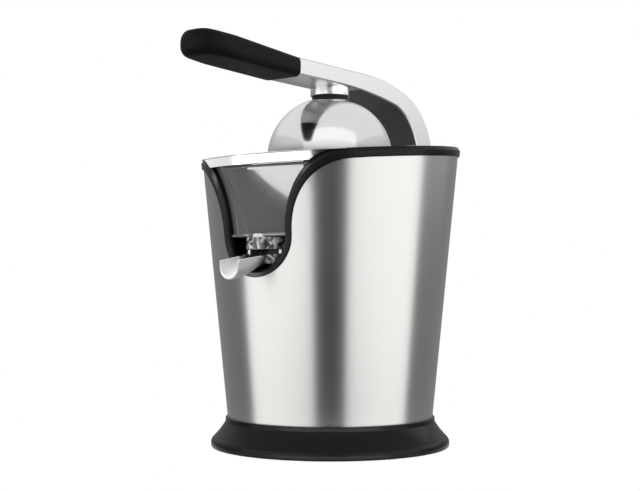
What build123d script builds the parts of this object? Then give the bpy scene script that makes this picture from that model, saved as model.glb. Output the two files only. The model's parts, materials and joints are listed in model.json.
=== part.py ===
from build123d import *
import math
import os

os.makedirs("parts", exist_ok=True)

# Electric lever citrus press. Sizes in mm, degrees.
# Z is up from the counter, the spout and grip face -Y, the lever hinge is at +Y.

# Body cone, rim and steel sheet
body_low_z = 24.0
body_taper = 0.1012  # radius gained per mm of height
sheet = 0.8
rim_z = 226.6
rim_tilt = 4.66
rim_band = 7.2

# Base, bottom plate and feet
foot_drop = 1.5
foot_radius = 9.0
foot_inset = 30.0
base_radius = 92.0
base_flare = 12.9  # foot of the base beyond the steel
base_lip = 5.5
base_edge = 1.2
base_collar = 1.6  # wall of the base outside the sheet
base_collar_height = 3.4
base_hollow = 0.5  # how far the flare dips below a straight line
base_wall = 2.8
sheet_bite = 4.0  # depth of the sheet in the base
plate_inset = 1.0
plate_thickness = 3.0
plate_margin = 8.0
vent_count = 12
vent_length = 22.0
vent_width = 3.0
vent_ring = 34.0

# Black trim round the rim and the spout opening
trim_proud = 1.3
trim_depth = 3.6
arch_z = 161.2  # height where the U turns into its flares
arch_outer = 31.0
arch_outer_reach = 43.5
arch_outer_rise = 52.6
arch_inner = 26.0
arch_inner_reach = 44.0
arch_inner_rise = 60.0

# Inner tub: deck, wall, hub tube and posts
tub_wall = 2.2
tub_gap = 0.4
deck_z = 146.0
deck_thickness = 3.0
tube_bore = 7.5
tube_wall = 2.5
tube_drop = 4.0  # hub tube below the shaft shoulder
post_radius = 5.0
post_inset = 24.5
post_angle = 28.0  # from the X axis, clear of the gearbox ears
boss_height = 6.0

# Spout recess
recess_radius = 30.0
recess_wall = 2.0
recess_depth = 26.0  # back wall behind the neck's axis
recess_top = 157.4
recess_flange = 5.0
recess_flange_height = 1.6

# Juice collector and outlet neck
collector_gap = 0.8
collector_wall = 2.0
collector_low_z = 159.5
collector_floor_rise = 7.0
collector_tube_bore = 12.2
collector_tube_top = 190.0
neck_inset = 16.8  # neck's axis inside the steel
neck_radius = 15.7
neck_wall = 1.8
neck_low_z = 150.5
neck_roof = 1.5

# Strainer bowl
strainer_sheet = 0.8
strainer_gap = 1.0
drain_gap = 8.0  # reamer's rim above the strainer floor
strainer_upstand = 2.2  # stays below the reamer's hub when the shaft is pressed
strainer_slots = 40
slot_width = 2.2
slot_length = 24.0
slot_ring = 52.0
strainer_flange = 1.4
lip_inset = 0.1

# Spout
spout_pivot_z = 147.0
spout_slope = 3.0  # fall of the cup's floor
spout_half_width = 13.0
spout_tip_half = 9.0
spout_wall = 1.3
spout_floor_drop = 6.2
spout_cup = 18.4
spout_reach = 42.5
spout_tip_drop = 18.7  # underside of the tip below the pivot
spout_back_z = 151.0
spout_rim_fall = 9.2  # from the back of the cup to the tip
trunnion_radius = 2.2
trunnion_reach = 3.3
ear_radius = 4.0
ear_thickness = 2.2

# Lever, grip and hinge
hinge_out = 15.9  # hinge axis outside the steel
hinge_z = 221.5
knuckle_radius = 11.75
arm_width = 34.0
arm_top = 292.0
arm_depth = 12.6
arm_edge = 1.2
outer_bend_y = 25.5
outer_sweep_radius = 201.0
outer_sweep = 16.0
inner_bend_y = -10.0
inner_sweep_radius = 440.0
inner_sweep = 10.0
sweep_fullness = 0.56  # how squarely the arm turns down
grip_start = 60.0
grip_length = 100.5
grip_overhang = 0.7
grip_skin = 1.4  # how far the grip stands below the arm
grip_top_rise = 6.2
grip_under_rise = 2.6
grip_corner = 17.0
grip_edge = 5.0
tang_length = 88.0
tang_width = 20.0
tang_height = 5.0
pin_radius = 4.0
hinge_bush_wall = 2.0
hinge_bush_length = 14.0
spine_cheek = 6.5
spine_knuckle = 13.2
spine_low_z = 134.0
spine_toe = 6.0
spine_edge = 2.0
pin_cap_radius = 6.0
pin_cap_height = 1.6
anchor_thickness = 2.0
anchor_width = 40.0
anchor_height = 16.0
hinge_screw_spread = 12.0

# Dome and its bayonet socket
dome_radius = 48.8
dome_height = 47.4
dome_skirt = 9.2
dome_gap = 0.6
dome_sheet = 1.2
socket_radius = 15.3
socket_height = 7.2
socket_lip = 2.0
socket_ledge = 1.7
seal_radius = 14.0
seal_top = 1.6
stem_radius = 9.5
lug_reach = 2.4
lug_height = 2.0
lug_width = 7.0
bayonet_turn = 60.0
dome_screw_radius = 2.5
dome_screw_head = 6.0
dome_screw_head_height = 2.4
dome_screw_grip = 5.0

# Reamer
reamer_base_z = 203.0
tip_gap = 10.6  # reamer's tip below the top of the dome
reamer_radius = 30.0
reamer_belly = 22.0
reamer_flange = 36.0
reamer_flange_height = 2.5
reamer_tip = 3.0
reamer_wall = 3.2
rib_count = 10
rib_height = 3.0
rib_width = 3.2
reamer_hub = 9.0

# Drive shaft and press start
shaft_radius = 4.0
shaft_hex = 8.0
shaft_low_z = 124.0
cone_hex = 6.4
cone_drop = 3.0  # shaft shoulder below the reamer's rim
cone_hex_height = 16.0
collar_radius = 21.0
collar_height = 2.0
collar_low_z = 143.2
spring_folds = 6
spring_inner = 1.4
spring_outer = 3.7
spring_leaf = 0.6
switch_x = 19.5
switch_width = 6.4
switch_length = 20.0
switch_height = 8.0
plunger_radius = 1.2
plunger_depth = 4.0
shaft_bush_length = 10.0
seal_flange = 9.6
seal_flange_height = 1.2

# Gear train: two equal stages, the motor on the body axis
gear_module = 1.2
pinion_teeth = 12
wheel_teeth = 48
pressure_angle = 25.0
addendum = 0.9
dedendum = 1.15
tooth_backlash = 0.18
wheel_width = 8.0
pinion_width = 9.0
gear_floor_z = 102.0
gear_height = 27.0
gear_wall = 2.5
gear_roof = 3.0
gear_plate_thickness = 3.0
gear_room = 2.5
gear_step = 2.0  # height between the two stages
axle_radius = 3.0
idler_hub = 5.0
output_floor = 2.0
output_hub = 8.0
output_bush_wall = 3.4
output_boss_wall = 3.0
output_boss_height = 5.0
clip_groove = 0.8
clip_height = 1.2
clip_radius = 11.0
gear_ear = 5.0
gear_ear_out = 3.5  # ear axis outside the gearbox wall
screw_radius = 1.6
screw_head = 3.2
screw_head_height = 1.6
screw_grip = 14.0

# Motor
stack_size = 76.0
stack_corner = 14.0
stack_low_z = 52.0
stack_height = 28.0
rotor_radius = 16.6
air_gap = 0.5
motor_shaft = 3.0
winding_inner = 20.0
winding_outer = 31.0
winding_height = 11.0
winding_round = 3.0
bracket_z = 34.0
bracket_thickness = 3.0
bracket_window = 14.0
bearing_boss = 9.0
bearing_length = 10.0
bush_outer = 6.0
bolt_radius = 2.0
bolt_spread = 60.0
spacer_wall = 1.7
fan_low_z = 12.0
fan_height = 13.0
fan_radius = 28.0
fan_blades = 7
fan_blade = 1.6
fan_disc = 1.6
fan_hub = 7.0

# Cord inlet
gland_z = 13.0
gland_radius = 5.5
gland_bore = 3.4
gland_flange = 7.2
gland_flange_height = 2.0

# Clearances
running_fit = 0.05
seat_fit = 0.1
loose_fit = 0.3
swing_gap = 0.6

# Values that follow from the sizes above
tilt = math.radians(rim_tilt)
rim_plane = Plane((0, 0, rim_z), z_dir=(0, -math.sin(tilt), math.cos(tilt)))
reach = 2 * base_radius
arm_half = arm_width / 2
arm_under = arm_top - arm_depth
socket_low_z = arm_under - socket_height
dome_top = socket_low_z - dome_gap
dome_z = dome_top - dome_height
dome_low_z = dome_z - dome_skirt
cone_seat_z = reamer_base_z - cone_drop
reamer_tip_z = dome_top - tip_gap
tube_top = cone_seat_z - tube_drop
strainer_floor_z = reamer_base_z - drain_gap
plate_low = foot_drop + plate_inset
plate_top = plate_low + plate_thickness
plate_radius = base_radius - plate_margin
deck_top = deck_z + deck_thickness
tub_outer = -sheet - tub_gap
trim_inner = -trim_depth
collector_outer = trim_inner - collector_gap
collector_inner = collector_outer - collector_wall
strainer_outer = collector_inner - strainer_gap
strainer_inner = strainer_outer - strainer_sheet
gear_centre = gear_module * (pinion_teeth + wheel_teeth) / 2
gear_top = gear_floor_z + gear_height
lower_wheel_z = gear_floor_z + gear_step
upper_wheel_z = lower_wheel_z + wheel_width + gear_step
spring_low_z = upper_wheel_z + output_floor
chamber_low = socket_low_z + socket_lip + socket_ledge
anchor_z = spine_low_z
gear_space = gear_module * (wheel_teeth / 2 + addendum) + gear_room
gear_ear_x = gear_space + gear_wall + gear_ear_out
gear_ears = [(side * gear_ear_x, y) for side in (1, -1) for y in (0, gear_centre)]


def body_radius(z, offset=0.0):
    return base_radius - base_flare + body_taper * (z - body_low_z) + offset


# Places that follow from the body's radius
foot_ring = base_radius - foot_inset
post_x = (base_radius - post_inset) * math.cos(math.radians(post_angle))
post_y = (base_radius - post_inset) * math.sin(math.radians(post_angle))
post_places = [(x, y) for x in (post_x, -post_x) for y in (post_y, -post_y)]
neck_y = body_radius(collector_low_z) - neck_inset
recess_back_y = neck_y - recess_depth
spout_tip_y = neck_y + spout_reach
hinge_y = body_radius(hinge_z) + hinge_out


def cone_wall(outer, inner, low, high):
    # Conical wall between two offsets from the steel's outer face
    with BuildPart(mode=Mode.PRIVATE) as wall:
        with BuildSketch(Plane.XZ):
            with BuildLine():
                Polyline(
                    (body_radius(low, inner), low),
                    (body_radius(low, outer), low),
                    (body_radius(high, outer), high),
                    (body_radius(high, inner), high),
                    close=True,
                )
            make_face()
        revolve(axis=Axis.Z)
    return wall.part


def cone_core(offset, low, high):
    # Solid of the body cone at an offset from the steel's outer face
    with BuildPart(mode=Mode.PRIVATE) as core:
        with BuildSketch(Plane.XZ):
            with BuildLine():
                wide_low = body_radius(low, offset)
                wide_high = body_radius(high, offset)
                Polyline((0, low), (wide_low, low), (wide_high, high), (0, high), close=True)
            make_face()
        revolve(axis=Axis.Z)
    return core.part


def arch_prism(half_width, flare_reach, flare_rise, grow=0.0):
    # Front prism of everything above a U whose legs flare out as quarter ellipses
    side = half_width + flare_reach
    flare_top = arch_z + flare_rise - grow
    above = rim_z + 2 * rim_band
    wide = flare_reach - grow
    tall = flare_rise - grow
    with BuildPart(mode=Mode.PRIVATE) as prism:
        with BuildSketch(Plane.XZ):
            with BuildLine():
                CenterArc((0, arch_z), half_width + grow, 180, 180)
                EllipticalCenterArc((side, arch_z), wide, tall, 90, arc_size=90)
                EllipticalCenterArc((-side, arch_z), wide, tall, 0, arc_size=90)
                Polyline((side, flare_top), (side, above), (-side, above), (-side, flare_top))
            make_face()
        extrude(amount=reach)
    return prism.part


def outer_arch(grow=0.0):
    return arch_prism(arch_outer, arch_outer_reach, arch_outer_rise, grow)


def inner_arch(grow=0.0):
    return arch_prism(arch_inner, arch_inner_reach, arch_inner_rise, grow)


def rim_slice(outer, inner, height):
    # Band of the cone wall, from the rim plane down by a height
    with BuildPart(mode=Mode.PRIVATE) as band:
        add(cone_wall(outer, inner, arch_z, rim_z + 2 * rim_band))
        split(bisect_by=rim_plane, keep=Keep.BOTTOM)
        split(bisect_by=rim_plane.offset(-height), keep=Keep.TOP)
    return band.part


def steel_sheet(clearance):
    # The body sheet, grown by a clearance where it cuts the groove of the trim
    half_width = (arch_outer + arch_inner) / 2
    flare_reach = (arch_outer_reach + arch_inner_reach) / 2
    flare_rise = (arch_outer_rise + arch_inner_rise) / 2
    low = body_low_z - sheet_bite
    with BuildPart(mode=Mode.PRIVATE) as body:
        add(cone_wall(clearance, -sheet - clearance, low, rim_z + 2 * rim_band))
        split(bisect_by=rim_plane.offset(clearance - rim_band / 2), keep=Keep.BOTTOM)
        add(arch_prism(half_width, flare_reach, flare_rise, -clearance), mode=Mode.SUBTRACT)
    return body.part


def dome_solid(skin):
    # Solid dome, drawn in by a skin
    with BuildPart(mode=Mode.PRIVATE) as solid:
        with BuildSketch(Plane.XZ):
            with BuildLine():
                EllipticalCenterArc((0, dome_z), dome_radius - skin, dome_height - skin, 0, arc_size=90)
                Polyline(
                    (0, dome_top - skin),
                    (0, dome_low_z),
                    (dome_radius - skin, dome_low_z),
                    (dome_radius - skin, dome_z),
                )
            make_face()
        revolve(axis=Axis.Z)
    return solid.part


def gear_face(teeth, steps, first_angle):
    # Involute outline with a tooth centred on first_angle
    pitch = gear_module * teeth / 2
    base = pitch * math.cos(math.radians(pressure_angle))
    tip = pitch + addendum * gear_module
    root = pitch - dedendum * gear_module
    start = max(base, root)
    half_tooth = (math.pi * gear_module / 2 - tooth_backlash) / (2 * pitch)
    roll = math.tan(math.radians(pressure_angle)) - math.radians(pressure_angle)
    flank = []
    for step in range(steps + 1):
        radius = start + (tip - start) * step / steps
        turn = math.acos(min(1.0, base / radius))
        flank.append((radius, half_tooth + roll - math.tan(turn) + turn))
    if root < start:
        flank.insert(0, (root, flank[0][1]))
    outline = []
    for tooth in range(teeth):
        centre = math.radians(first_angle) + 2 * math.pi * tooth / teeth
        sides = [(radius, centre - half) for radius, half in flank]
        sides += [(radius, centre + half) for radius, half in reversed(flank)]
        outline += [(radius * math.cos(angle), radius * math.sin(angle)) for radius, angle in sides]
    with BuildSketch(mode=Mode.PRIVATE) as face:
        with BuildLine():
            Polyline(*outline, close=True)
        make_face()
    return face.sketch


def gearbox_outline(grow):
    # Outline round both gear axes, grown by a wall
    room = gear_space + grow
    with BuildSketch(mode=Mode.PRIVATE) as outline:
        Circle(room)
        with Locations((0, gear_centre)):
            Circle(room)
        make_hull()
    return outline.sketch


# Black base with its flared foot and the groove for the steel
collar_outer = body_radius(body_low_z) + base_collar
base_inner = body_radius(body_low_z - sheet_bite) - sheet - base_wall
lip_top = foot_drop + base_lip
flare_top = body_low_z - base_collar_height
flare_middle = ((base_radius + collar_outer) / 2 - base_hollow, (lip_top + flare_top) / 2 - base_hollow)
with BuildPart() as base_ring:
    with BuildSketch(Plane.XZ):
        with BuildLine():
            Polyline(
                (collar_outer, flare_top),
                (collar_outer, body_low_z),
                (base_inner, body_low_z),
                (base_inner, plate_top),
                (plate_radius + loose_fit, plate_top),
                (plate_radius + loose_fit, foot_drop),
                (base_radius, foot_drop),
                (base_radius, lip_top),
            )
            ThreePointArc((base_radius, lip_top), flare_middle, (collar_outer, flare_top))
        make_face()
    revolve(axis=Axis.Z)
    rounds = base_ring.edges().filter_by(GeomType.CIRCLE).filter_by(lambda edge: edge.is_closed)
    outside = rounds.group_by(SortBy.RADIUS)[-1]
    fillet(outside, base_edge)
    groove_low = body_low_z - sheet_bite - seat_fit
    add(cone_wall(seat_fit, -sheet - seat_fit, groove_low, body_low_z), mode=Mode.SUBTRACT)
    with BuildSketch(Plane.XZ):
        with Locations((0, gland_z)):
            Circle(gland_radius + seat_fit)
    extrude(amount=-reach, mode=Mode.SUBTRACT)
base_ring.part.label = "base_ring"
export_step(base_ring.part, "parts/base_ring.step")

# Bottom plate with vents and countersunk screw seats
with BuildPart() as bottom_plate:
    with BuildSketch(Plane.XY.offset(plate_low)):
        Circle(plate_radius)
        with PolarLocations(vent_ring, vent_count):
            SlotOverall(vent_length, vent_width, mode=Mode.SUBTRACT)
        with Locations(*post_places):
            Circle(screw_radius + seat_fit, mode=Mode.SUBTRACT)
    extrude(amount=plate_thickness)
    with BuildSketch(Plane.XY.offset(plate_low)):
        with Locations(*post_places):
            Circle(screw_head + seat_fit)
    extrude(amount=screw_head_height, mode=Mode.SUBTRACT)
bottom_plate.part.label = "bottom_plate"
export_step(bottom_plate.part, "parts/bottom_plate.step")

# Rubber feet under the plate: four round the edge and one under the press axis
with BuildPart() as rubber_feet:
    with BuildSketch():
        Circle(foot_radius)
        with PolarLocations(foot_ring, 4):
            Circle(foot_radius)
    extrude(amount=plate_low)
rubber_feet.part.label = "rubber_feet"
export_step(rubber_feet.part, "parts/rubber_feet.step")

# Screws that clamp the plate, base and sheet to the posts
with BuildPart() as frame_screws:
    with BuildSketch(Plane.XY.offset(plate_low)):
        with Locations(*post_places):
            Circle(screw_head)
    extrude(amount=screw_head_height)
    with BuildSketch(Plane.XY.offset(plate_low + screw_head_height)):
        with Locations(*post_places):
            Circle(screw_radius)
    extrude(amount=screw_grip)
frame_screws.part.label = "frame_screws"
export_step(frame_screws.part, "parts/frame_screws.step")

# Tapered steel body sheet with the U cut out of its front
hinge_screw_places = [(hinge_screw_spread, anchor_z), (-hinge_screw_spread, anchor_z)]
with BuildPart() as steel_shell:
    add(steel_sheet(0.0))
    with BuildSketch(Plane.XZ):
        with Locations(*hinge_screw_places):
            Circle(screw_radius + seat_fit)
    extrude(amount=-reach, mode=Mode.SUBTRACT)
steel_shell.part.label = "steel_shell"
export_step(steel_shell.part, "parts/steel_shell.step")

# Black trim: rim band and U in one moulding, grooved over the edge of the sheet
with BuildPart() as trim_region:
    with BuildSketch(rim_plane.offset(-rim_band)):
        Rectangle(2 * reach, 2 * reach)
    extrude(amount=3 * rim_band)
    add(outer_arch())
with BuildPart() as rim_trim:
    add(cone_wall(trim_proud, trim_inner, arch_z - 2 * arch_outer, rim_z + 2 * rim_band))
    split(bisect_by=rim_plane, keep=Keep.BOTTOM)
    add(trim_region.part, mode=Mode.INTERSECT)
    add(inner_arch(), mode=Mode.SUBTRACT)
    add(steel_sheet(seat_fit), mode=Mode.SUBTRACT)
rim_trim.part.label = "rim_trim"
export_step(rim_trim.part, "parts/rim_trim.step")

# Inner tub: wall under the trim, deck over the drive, hub tube, long posts and gearbox bosses
recess_outer = recess_radius + recess_wall
with BuildPart() as inner_tub:
    add(cone_wall(tub_outer, tub_outer - tub_wall, deck_z, rim_z + 2 * rim_band))
    split(bisect_by=rim_plane.offset(-rim_band - loose_fit), keep=Keep.BOTTOM)
    add(outer_arch(loose_fit), mode=Mode.SUBTRACT)
    add(cone_core(tub_outer - tub_wall / 2, deck_z, deck_top))
    with BuildSketch(Plane.XY.offset(deck_z)):
        with Locations((0, -recess_back_y + loose_fit)):
            Rectangle(2 * (recess_outer + loose_fit), reach, align=(Align.CENTER, Align.MAX))
    extrude(amount=deck_thickness, mode=Mode.SUBTRACT)
    with BuildSketch(Plane.XY.offset(plate_top)):
        with Locations(*post_places):
            Circle(post_radius)
    extrude(amount=deck_z - plate_top)
    with BuildSketch(Plane.XY.offset(deck_z - boss_height)):
        with Locations(*gear_ears):
            Circle(gear_ear)
    extrude(amount=boss_height)
    with BuildSketch(Plane.XY.offset(deck_z)):
        Circle(tube_bore + tube_wall)
    extrude(amount=tube_top - deck_z)
    with BuildSketch(Plane.XY.offset(deck_z)):
        Circle(tube_bore)
    extrude(amount=tube_top - deck_z, mode=Mode.SUBTRACT)
    with BuildSketch(Plane.XY.offset(plate_top)):
        with Locations(*post_places):
            Circle(screw_radius + seat_fit)
    extrude(amount=screw_grip, mode=Mode.SUBTRACT)
    with BuildSketch(Plane.XY.offset(deck_z - boss_height)):
        with Locations(*gear_ears):
            Circle(screw_radius + seat_fit)
    extrude(amount=boss_height, mode=Mode.SUBTRACT)
inner_tub.part.label = "inner_tub"
export_step(inner_tub.part, "parts/inner_tub.step")

# Black pocket behind the lower half of the U, hung on the deck by its flange
with BuildPart() as spout_recess:
    with BuildSketch(Plane.XZ.offset(recess_back_y)):
        with Locations((0, arch_z)):
            Circle(recess_outer)
        with Locations((0, recess_top)):
            Rectangle(reach, reach, align=(Align.CENTER, Align.MIN), mode=Mode.SUBTRACT)
    extrude(amount=reach)
    with BuildSketch(Plane.XY.offset(deck_top)):
        with Locations((0, -recess_back_y + recess_flange)):
            Rectangle(2 * (recess_outer + recess_flange), reach, align=(Align.CENTER, Align.MAX))
    extrude(amount=recess_flange_height)
    with BuildSketch(Plane.XZ.offset(recess_back_y + recess_wall)):
        with Locations((0, arch_z)):
            Circle(recess_radius)
    extrude(amount=reach, mode=Mode.SUBTRACT)
    add(cone_core(trim_inner - loose_fit, arch_z - 2 * arch_outer, rim_z), mode=Mode.INTERSECT)
spout_recess.part.label = "spout_recess"
export_step(spout_recess.part, "parts/spout_recess.step")

# Smoked collector bowl: window wall, floor falling to the front, hub tube, neck and spout trunnions
neck_bore = neck_radius - neck_wall
floor_edge = body_radius(collector_low_z, collector_inner)
floor_high = collector_low_z + collector_floor_rise
with BuildPart() as drain_hole:
    with BuildSketch(Plane.XY.offset(neck_low_z)):
        with Locations((0, -neck_y)):
            Circle(neck_bore)
    extrude(amount=floor_high - neck_low_z + collector_wall)
    add(cone_core(collector_inner, neck_low_z, floor_high + collector_wall), mode=Mode.INTERSECT)
with BuildPart() as juice_collector:
    add(cone_wall(collector_outer, collector_inner, collector_low_z, rim_z + 2 * rim_band))
    split(bisect_by=rim_plane.offset(-strainer_flange), keep=Keep.BOTTOM)
    with BuildSketch(Plane.XZ):
        with BuildLine():
            Polyline(
                (collector_tube_bore, floor_high),
                (floor_edge + collector_wall / 2, collector_low_z),
                (floor_edge + collector_wall / 2, collector_low_z + collector_wall),
                (collector_tube_bore + collector_wall, floor_high + collector_wall),
                (collector_tube_bore + collector_wall, collector_tube_top),
                (collector_tube_bore, collector_tube_top),
                close=True,
            )
        make_face()
    revolve(axis=Axis.Z)
    with BuildSketch(Plane.XY.offset(neck_low_z)):
        with Locations((0, -neck_y)):
            Circle(neck_radius)
    extrude(amount=collector_low_z + collector_wall - neck_low_z)
    with BuildSketch(Plane.XY.offset(neck_low_z)):
        with Locations((0, -neck_y)):
            Circle(neck_bore)
    extrude(amount=collector_low_z + collector_wall - neck_roof - neck_low_z, mode=Mode.SUBTRACT)
    add(drain_hole.part, mode=Mode.SUBTRACT)
    for side in (1, -1):
        with BuildSketch(Plane.YZ.offset(side * neck_radius)):
            with Locations((-neck_y, spout_pivot_z)):
                Circle(ear_radius)
                Rectangle(
                    2 * ear_radius,
                    neck_low_z + neck_wall - spout_pivot_z,
                    align=(Align.CENTER, Align.MIN),
                )
        extrude(amount=-side * ear_thickness)
        with BuildSketch(Plane.YZ.offset(side * neck_radius)):
            with Locations((-neck_y, spout_pivot_z)):
                Circle(trunnion_radius)
        extrude(amount=side * trunnion_reach)
juice_collector.part.label = "juice_collector"
export_step(juice_collector.part, "parts/juice_collector.step")

# Steel strainer bowl: its rim sits on the collector, its front lip is the bright band
strainer_hole = collector_tube_bore + collector_wall + strainer_gap
with BuildPart() as front_lip:
    add(rim_slice(trim_proud - lip_inset, trim_proud - lip_inset - strainer_flange, rim_band))
    add(rim_slice(trim_proud - lip_inset, strainer_inner, strainer_flange))
    add(inner_arch(-loose_fit), mode=Mode.INTERSECT)
with BuildPart() as strainer_bowl:
    add(cone_wall(strainer_outer, strainer_inner, strainer_floor_z, rim_z + 2 * rim_band))
    split(bisect_by=rim_plane, keep=Keep.BOTTOM)
    add(rim_slice(collector_outer + collector_gap / 2, strainer_inner, strainer_flange))
    add(front_lip.part)
    add(cone_core(strainer_outer, strainer_floor_z, strainer_floor_z + strainer_sheet))
    with BuildSketch(Plane.XY.offset(strainer_floor_z)):
        Circle(strainer_hole + strainer_sheet)
    extrude(amount=strainer_upstand)
    with BuildSketch(Plane.XY.offset(strainer_floor_z)):
        Circle(strainer_hole)
        with PolarLocations(slot_ring, strainer_slots):
            SlotOverall(slot_length, slot_width)
    extrude(amount=strainer_upstand, mode=Mode.SUBTRACT)
strainer_bowl.part.label = "strainer_bowl"
export_step(strainer_bowl.part, "parts/strainer_bowl.step")

# Spout: a beak on a round cup that tips about the trunnions
slope = math.radians(spout_slope)
spout_pivot = Vector(0, -neck_y, spout_pivot_z)
spout_up = Vector(0, -math.sin(slope), math.cos(slope))
spout_shares = [0.2, 0.4, 0.6, 0.8, 1.0, 1.1]


def spout_station(share):
    # Floor and half width along the beak; both ease in and out
    ease = min(share, 1) ** 2 * (3 - 2 * min(share, 1))
    floor = -spout_floor_drop - (spout_tip_drop - spout_floor_drop) * ease
    return floor, spout_half_width + (spout_tip_half - spout_half_width) * ease


def spout_solid(skin):
    # Beak and cup together, drawn in by a wall
    with BuildPart(mode=Mode.PRIVATE) as cup:
        with Locations(spout_pivot):
            Sphere(spout_cup - skin)
        cup_floor = spout_pivot - spout_up * (spout_floor_drop - skin)
        split(bisect_by=Plane(cup_floor, z_dir=spout_up), keep=Keep.TOP)
    with BuildPart(mode=Mode.PRIVATE) as trough:
        for share in spout_shares:
            floor, half = spout_station(share)
            station = spout_pivot + Vector(0, -share * spout_reach, 0)
            with BuildSketch(Plane(station, x_dir=(1, 0, 0), z_dir=(0, -1, 0))):
                with BuildLine():
                    side = half - skin
                    ThreePointArc((-side, floor + half), (0, floor + skin), (side, floor + half))
                    Polyline(
                        (side, floor + half), (side, spout_cup), (-side, spout_cup), (-side, floor + half)
                    )
                make_face()
        loft()
        add(cup.part)
    return trough.part


spout_inside = spout_solid(spout_wall)
spout_outside = spout_solid(0.0)
with BuildPart() as pour_spout:
    add(spout_outside)
    with BuildSketch(Plane.YZ.offset(-spout_cup)):
        with BuildLine():
            Polyline(
                (-neck_y + spout_cup, spout_back_z),
                (-spout_tip_y, spout_back_z - spout_rim_fall),
                (-spout_tip_y, spout_pivot_z - 2 * spout_cup),
                (-neck_y + spout_cup, spout_pivot_z - 2 * spout_cup),
                close=True,
            )
        make_face()
    extrude(amount=2 * spout_cup, mode=Mode.INTERSECT)
    add(spout_inside, mode=Mode.SUBTRACT)
    with BuildSketch(Plane.YZ):
        with Locations((-neck_y, spout_pivot_z)):
            Circle(trunnion_radius + running_fit)
    extrude(amount=spout_cup, both=True, mode=Mode.SUBTRACT)
pour_spout.part.label = "pour_spout"
export_step(pour_spout.part, "parts/pour_spout.step")

# Rear hinge spine: a clevis on a tapering foot that lies on the steel
spine_half = arm_half + swing_gap + spine_cheek
toe_y = body_radius(spine_low_z)
slot_low = hinge_z - knuckle_radius - swing_gap
with BuildPart() as trim_envelope:
    add(cone_core(trim_proud + swing_gap, spine_low_z, hinge_z + 2 * spine_knuckle))
    split(bisect_by=rim_plane.offset(-rim_band - swing_gap), keep=Keep.TOP)
with BuildPart() as hinge_spine:
    with BuildSketch(Plane.YZ):
        with Locations((hinge_y, hinge_z)):
            Circle(spine_knuckle)
        with Locations((toe_y, spine_low_z)):
            Circle(spine_toe)
        with Locations((hinge_y - 2 * spine_knuckle, hinge_z)):
            Circle(spine_knuckle / 2)
        make_hull()
    extrude(amount=spine_half, both=True)
    fillet(hinge_spine.faces().filter_by(Axis.X).edges(), spine_edge)
    with BuildSketch(Plane.YZ):
        with Locations((hinge_y, slot_low)):
            Rectangle(reach, reach, align=(Align.CENTER, Align.MIN))
    extrude(amount=arm_half + swing_gap, both=True, mode=Mode.SUBTRACT)
    add(cone_core(0.0, spine_low_z - 2 * spine_toe, hinge_z + 2 * spine_knuckle), mode=Mode.SUBTRACT)
    add(trim_envelope.part, mode=Mode.SUBTRACT)
    with BuildSketch(Plane.YZ):
        with Locations((hinge_y, hinge_z)):
            Circle(pin_radius + running_fit)
    extrude(amount=spine_half, both=True, mode=Mode.SUBTRACT)
    with BuildSketch(Plane.XZ):
        with Locations(*hinge_screw_places):
            Circle(screw_radius + seat_fit)
    extrude(amount=-(toe_y + spine_toe / 2), mode=Mode.SUBTRACT)
hinge_spine.part.label = "hinge_spine"
export_step(hinge_spine.part, "parts/hinge_spine.step")

# Curved steel plate inside the sheet that the spine is screwed to
with BuildPart() as hinge_anchor:
    with BuildSketch(Plane.XZ):
        with Locations((0, anchor_z)):
            RectangleRounded(anchor_width, anchor_height, anchor_height / 4)
        with Locations(*hinge_screw_places):
            Circle(screw_radius + seat_fit, mode=Mode.SUBTRACT)
    extrude(amount=-reach)
    low = anchor_z - anchor_height
    high = anchor_z + anchor_height
    add(cone_wall(-sheet - seat_fit, -sheet - seat_fit - anchor_thickness, low, high), mode=Mode.INTERSECT)
hinge_anchor.part.label = "hinge_anchor"
export_step(hinge_anchor.part, "parts/hinge_anchor.step")

# Screws through the anchor and the sheet into the spine
anchor_inner = body_radius(anchor_z, -sheet - seat_fit - anchor_thickness)
anchor_face = math.sqrt(anchor_inner**2 - hinge_screw_spread**2)
head_face = anchor_face - screw_head * body_taper - loose_fit
with BuildPart() as hinge_screws:
    with BuildSketch(Plane.XZ.offset(-head_face)):
        with Locations(*hinge_screw_places):
            Circle(screw_head)
    extrude(amount=screw_head_height)
    with BuildSketch(Plane.XZ.offset(-head_face)):
        with Locations(*hinge_screw_places):
            Circle(screw_radius)
    extrude(amount=-(toe_y + spine_toe / 2 - head_face - loose_fit))
hinge_screws.part.label = "hinge_screws"
export_step(hinge_screws.part, "parts/hinge_screws.step")

# Hinge pin with its caps, and the bushes in the lever's knuckle
with BuildPart() as hinge_pin:
    with BuildSketch(Plane.YZ):
        with Locations((hinge_y, hinge_z)):
            Circle(pin_radius)
    extrude(amount=spine_half, both=True)
hinge_pin.part.label = "hinge_pin"
export_step(hinge_pin.part, "parts/hinge_pin.step")

with BuildPart() as pin_caps:
    for side in (1, -1):
        with BuildSketch(Plane.YZ.offset(side * spine_half)):
            with Locations((hinge_y, hinge_z)):
                Circle(pin_cap_radius)
        extrude(amount=side * pin_cap_height)
pin_caps.part.label = "pin_caps"
export_step(pin_caps.part, "parts/pin_caps.step")

with BuildPart() as hinge_bushes:
    for side in (1, -1):
        with BuildSketch(Plane.YZ.offset(side * arm_half)):
            with Locations((hinge_y, hinge_z)):
                Circle(pin_radius + hinge_bush_wall)
                Circle(pin_radius + running_fit, mode=Mode.SUBTRACT)
        extrude(amount=-side * hinge_bush_length)
hinge_bushes.part.label = "hinge_bushes"
export_step(hinge_bushes.part, "parts/hinge_bushes.step")

# Cast lever arm: level over the dome, then one sweep down behind the rim to its knuckle
knuckle_back = Vector(hinge_y + knuckle_radius, hinge_z)
knuckle_front = Vector(hinge_y - knuckle_radius, hinge_z)


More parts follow.
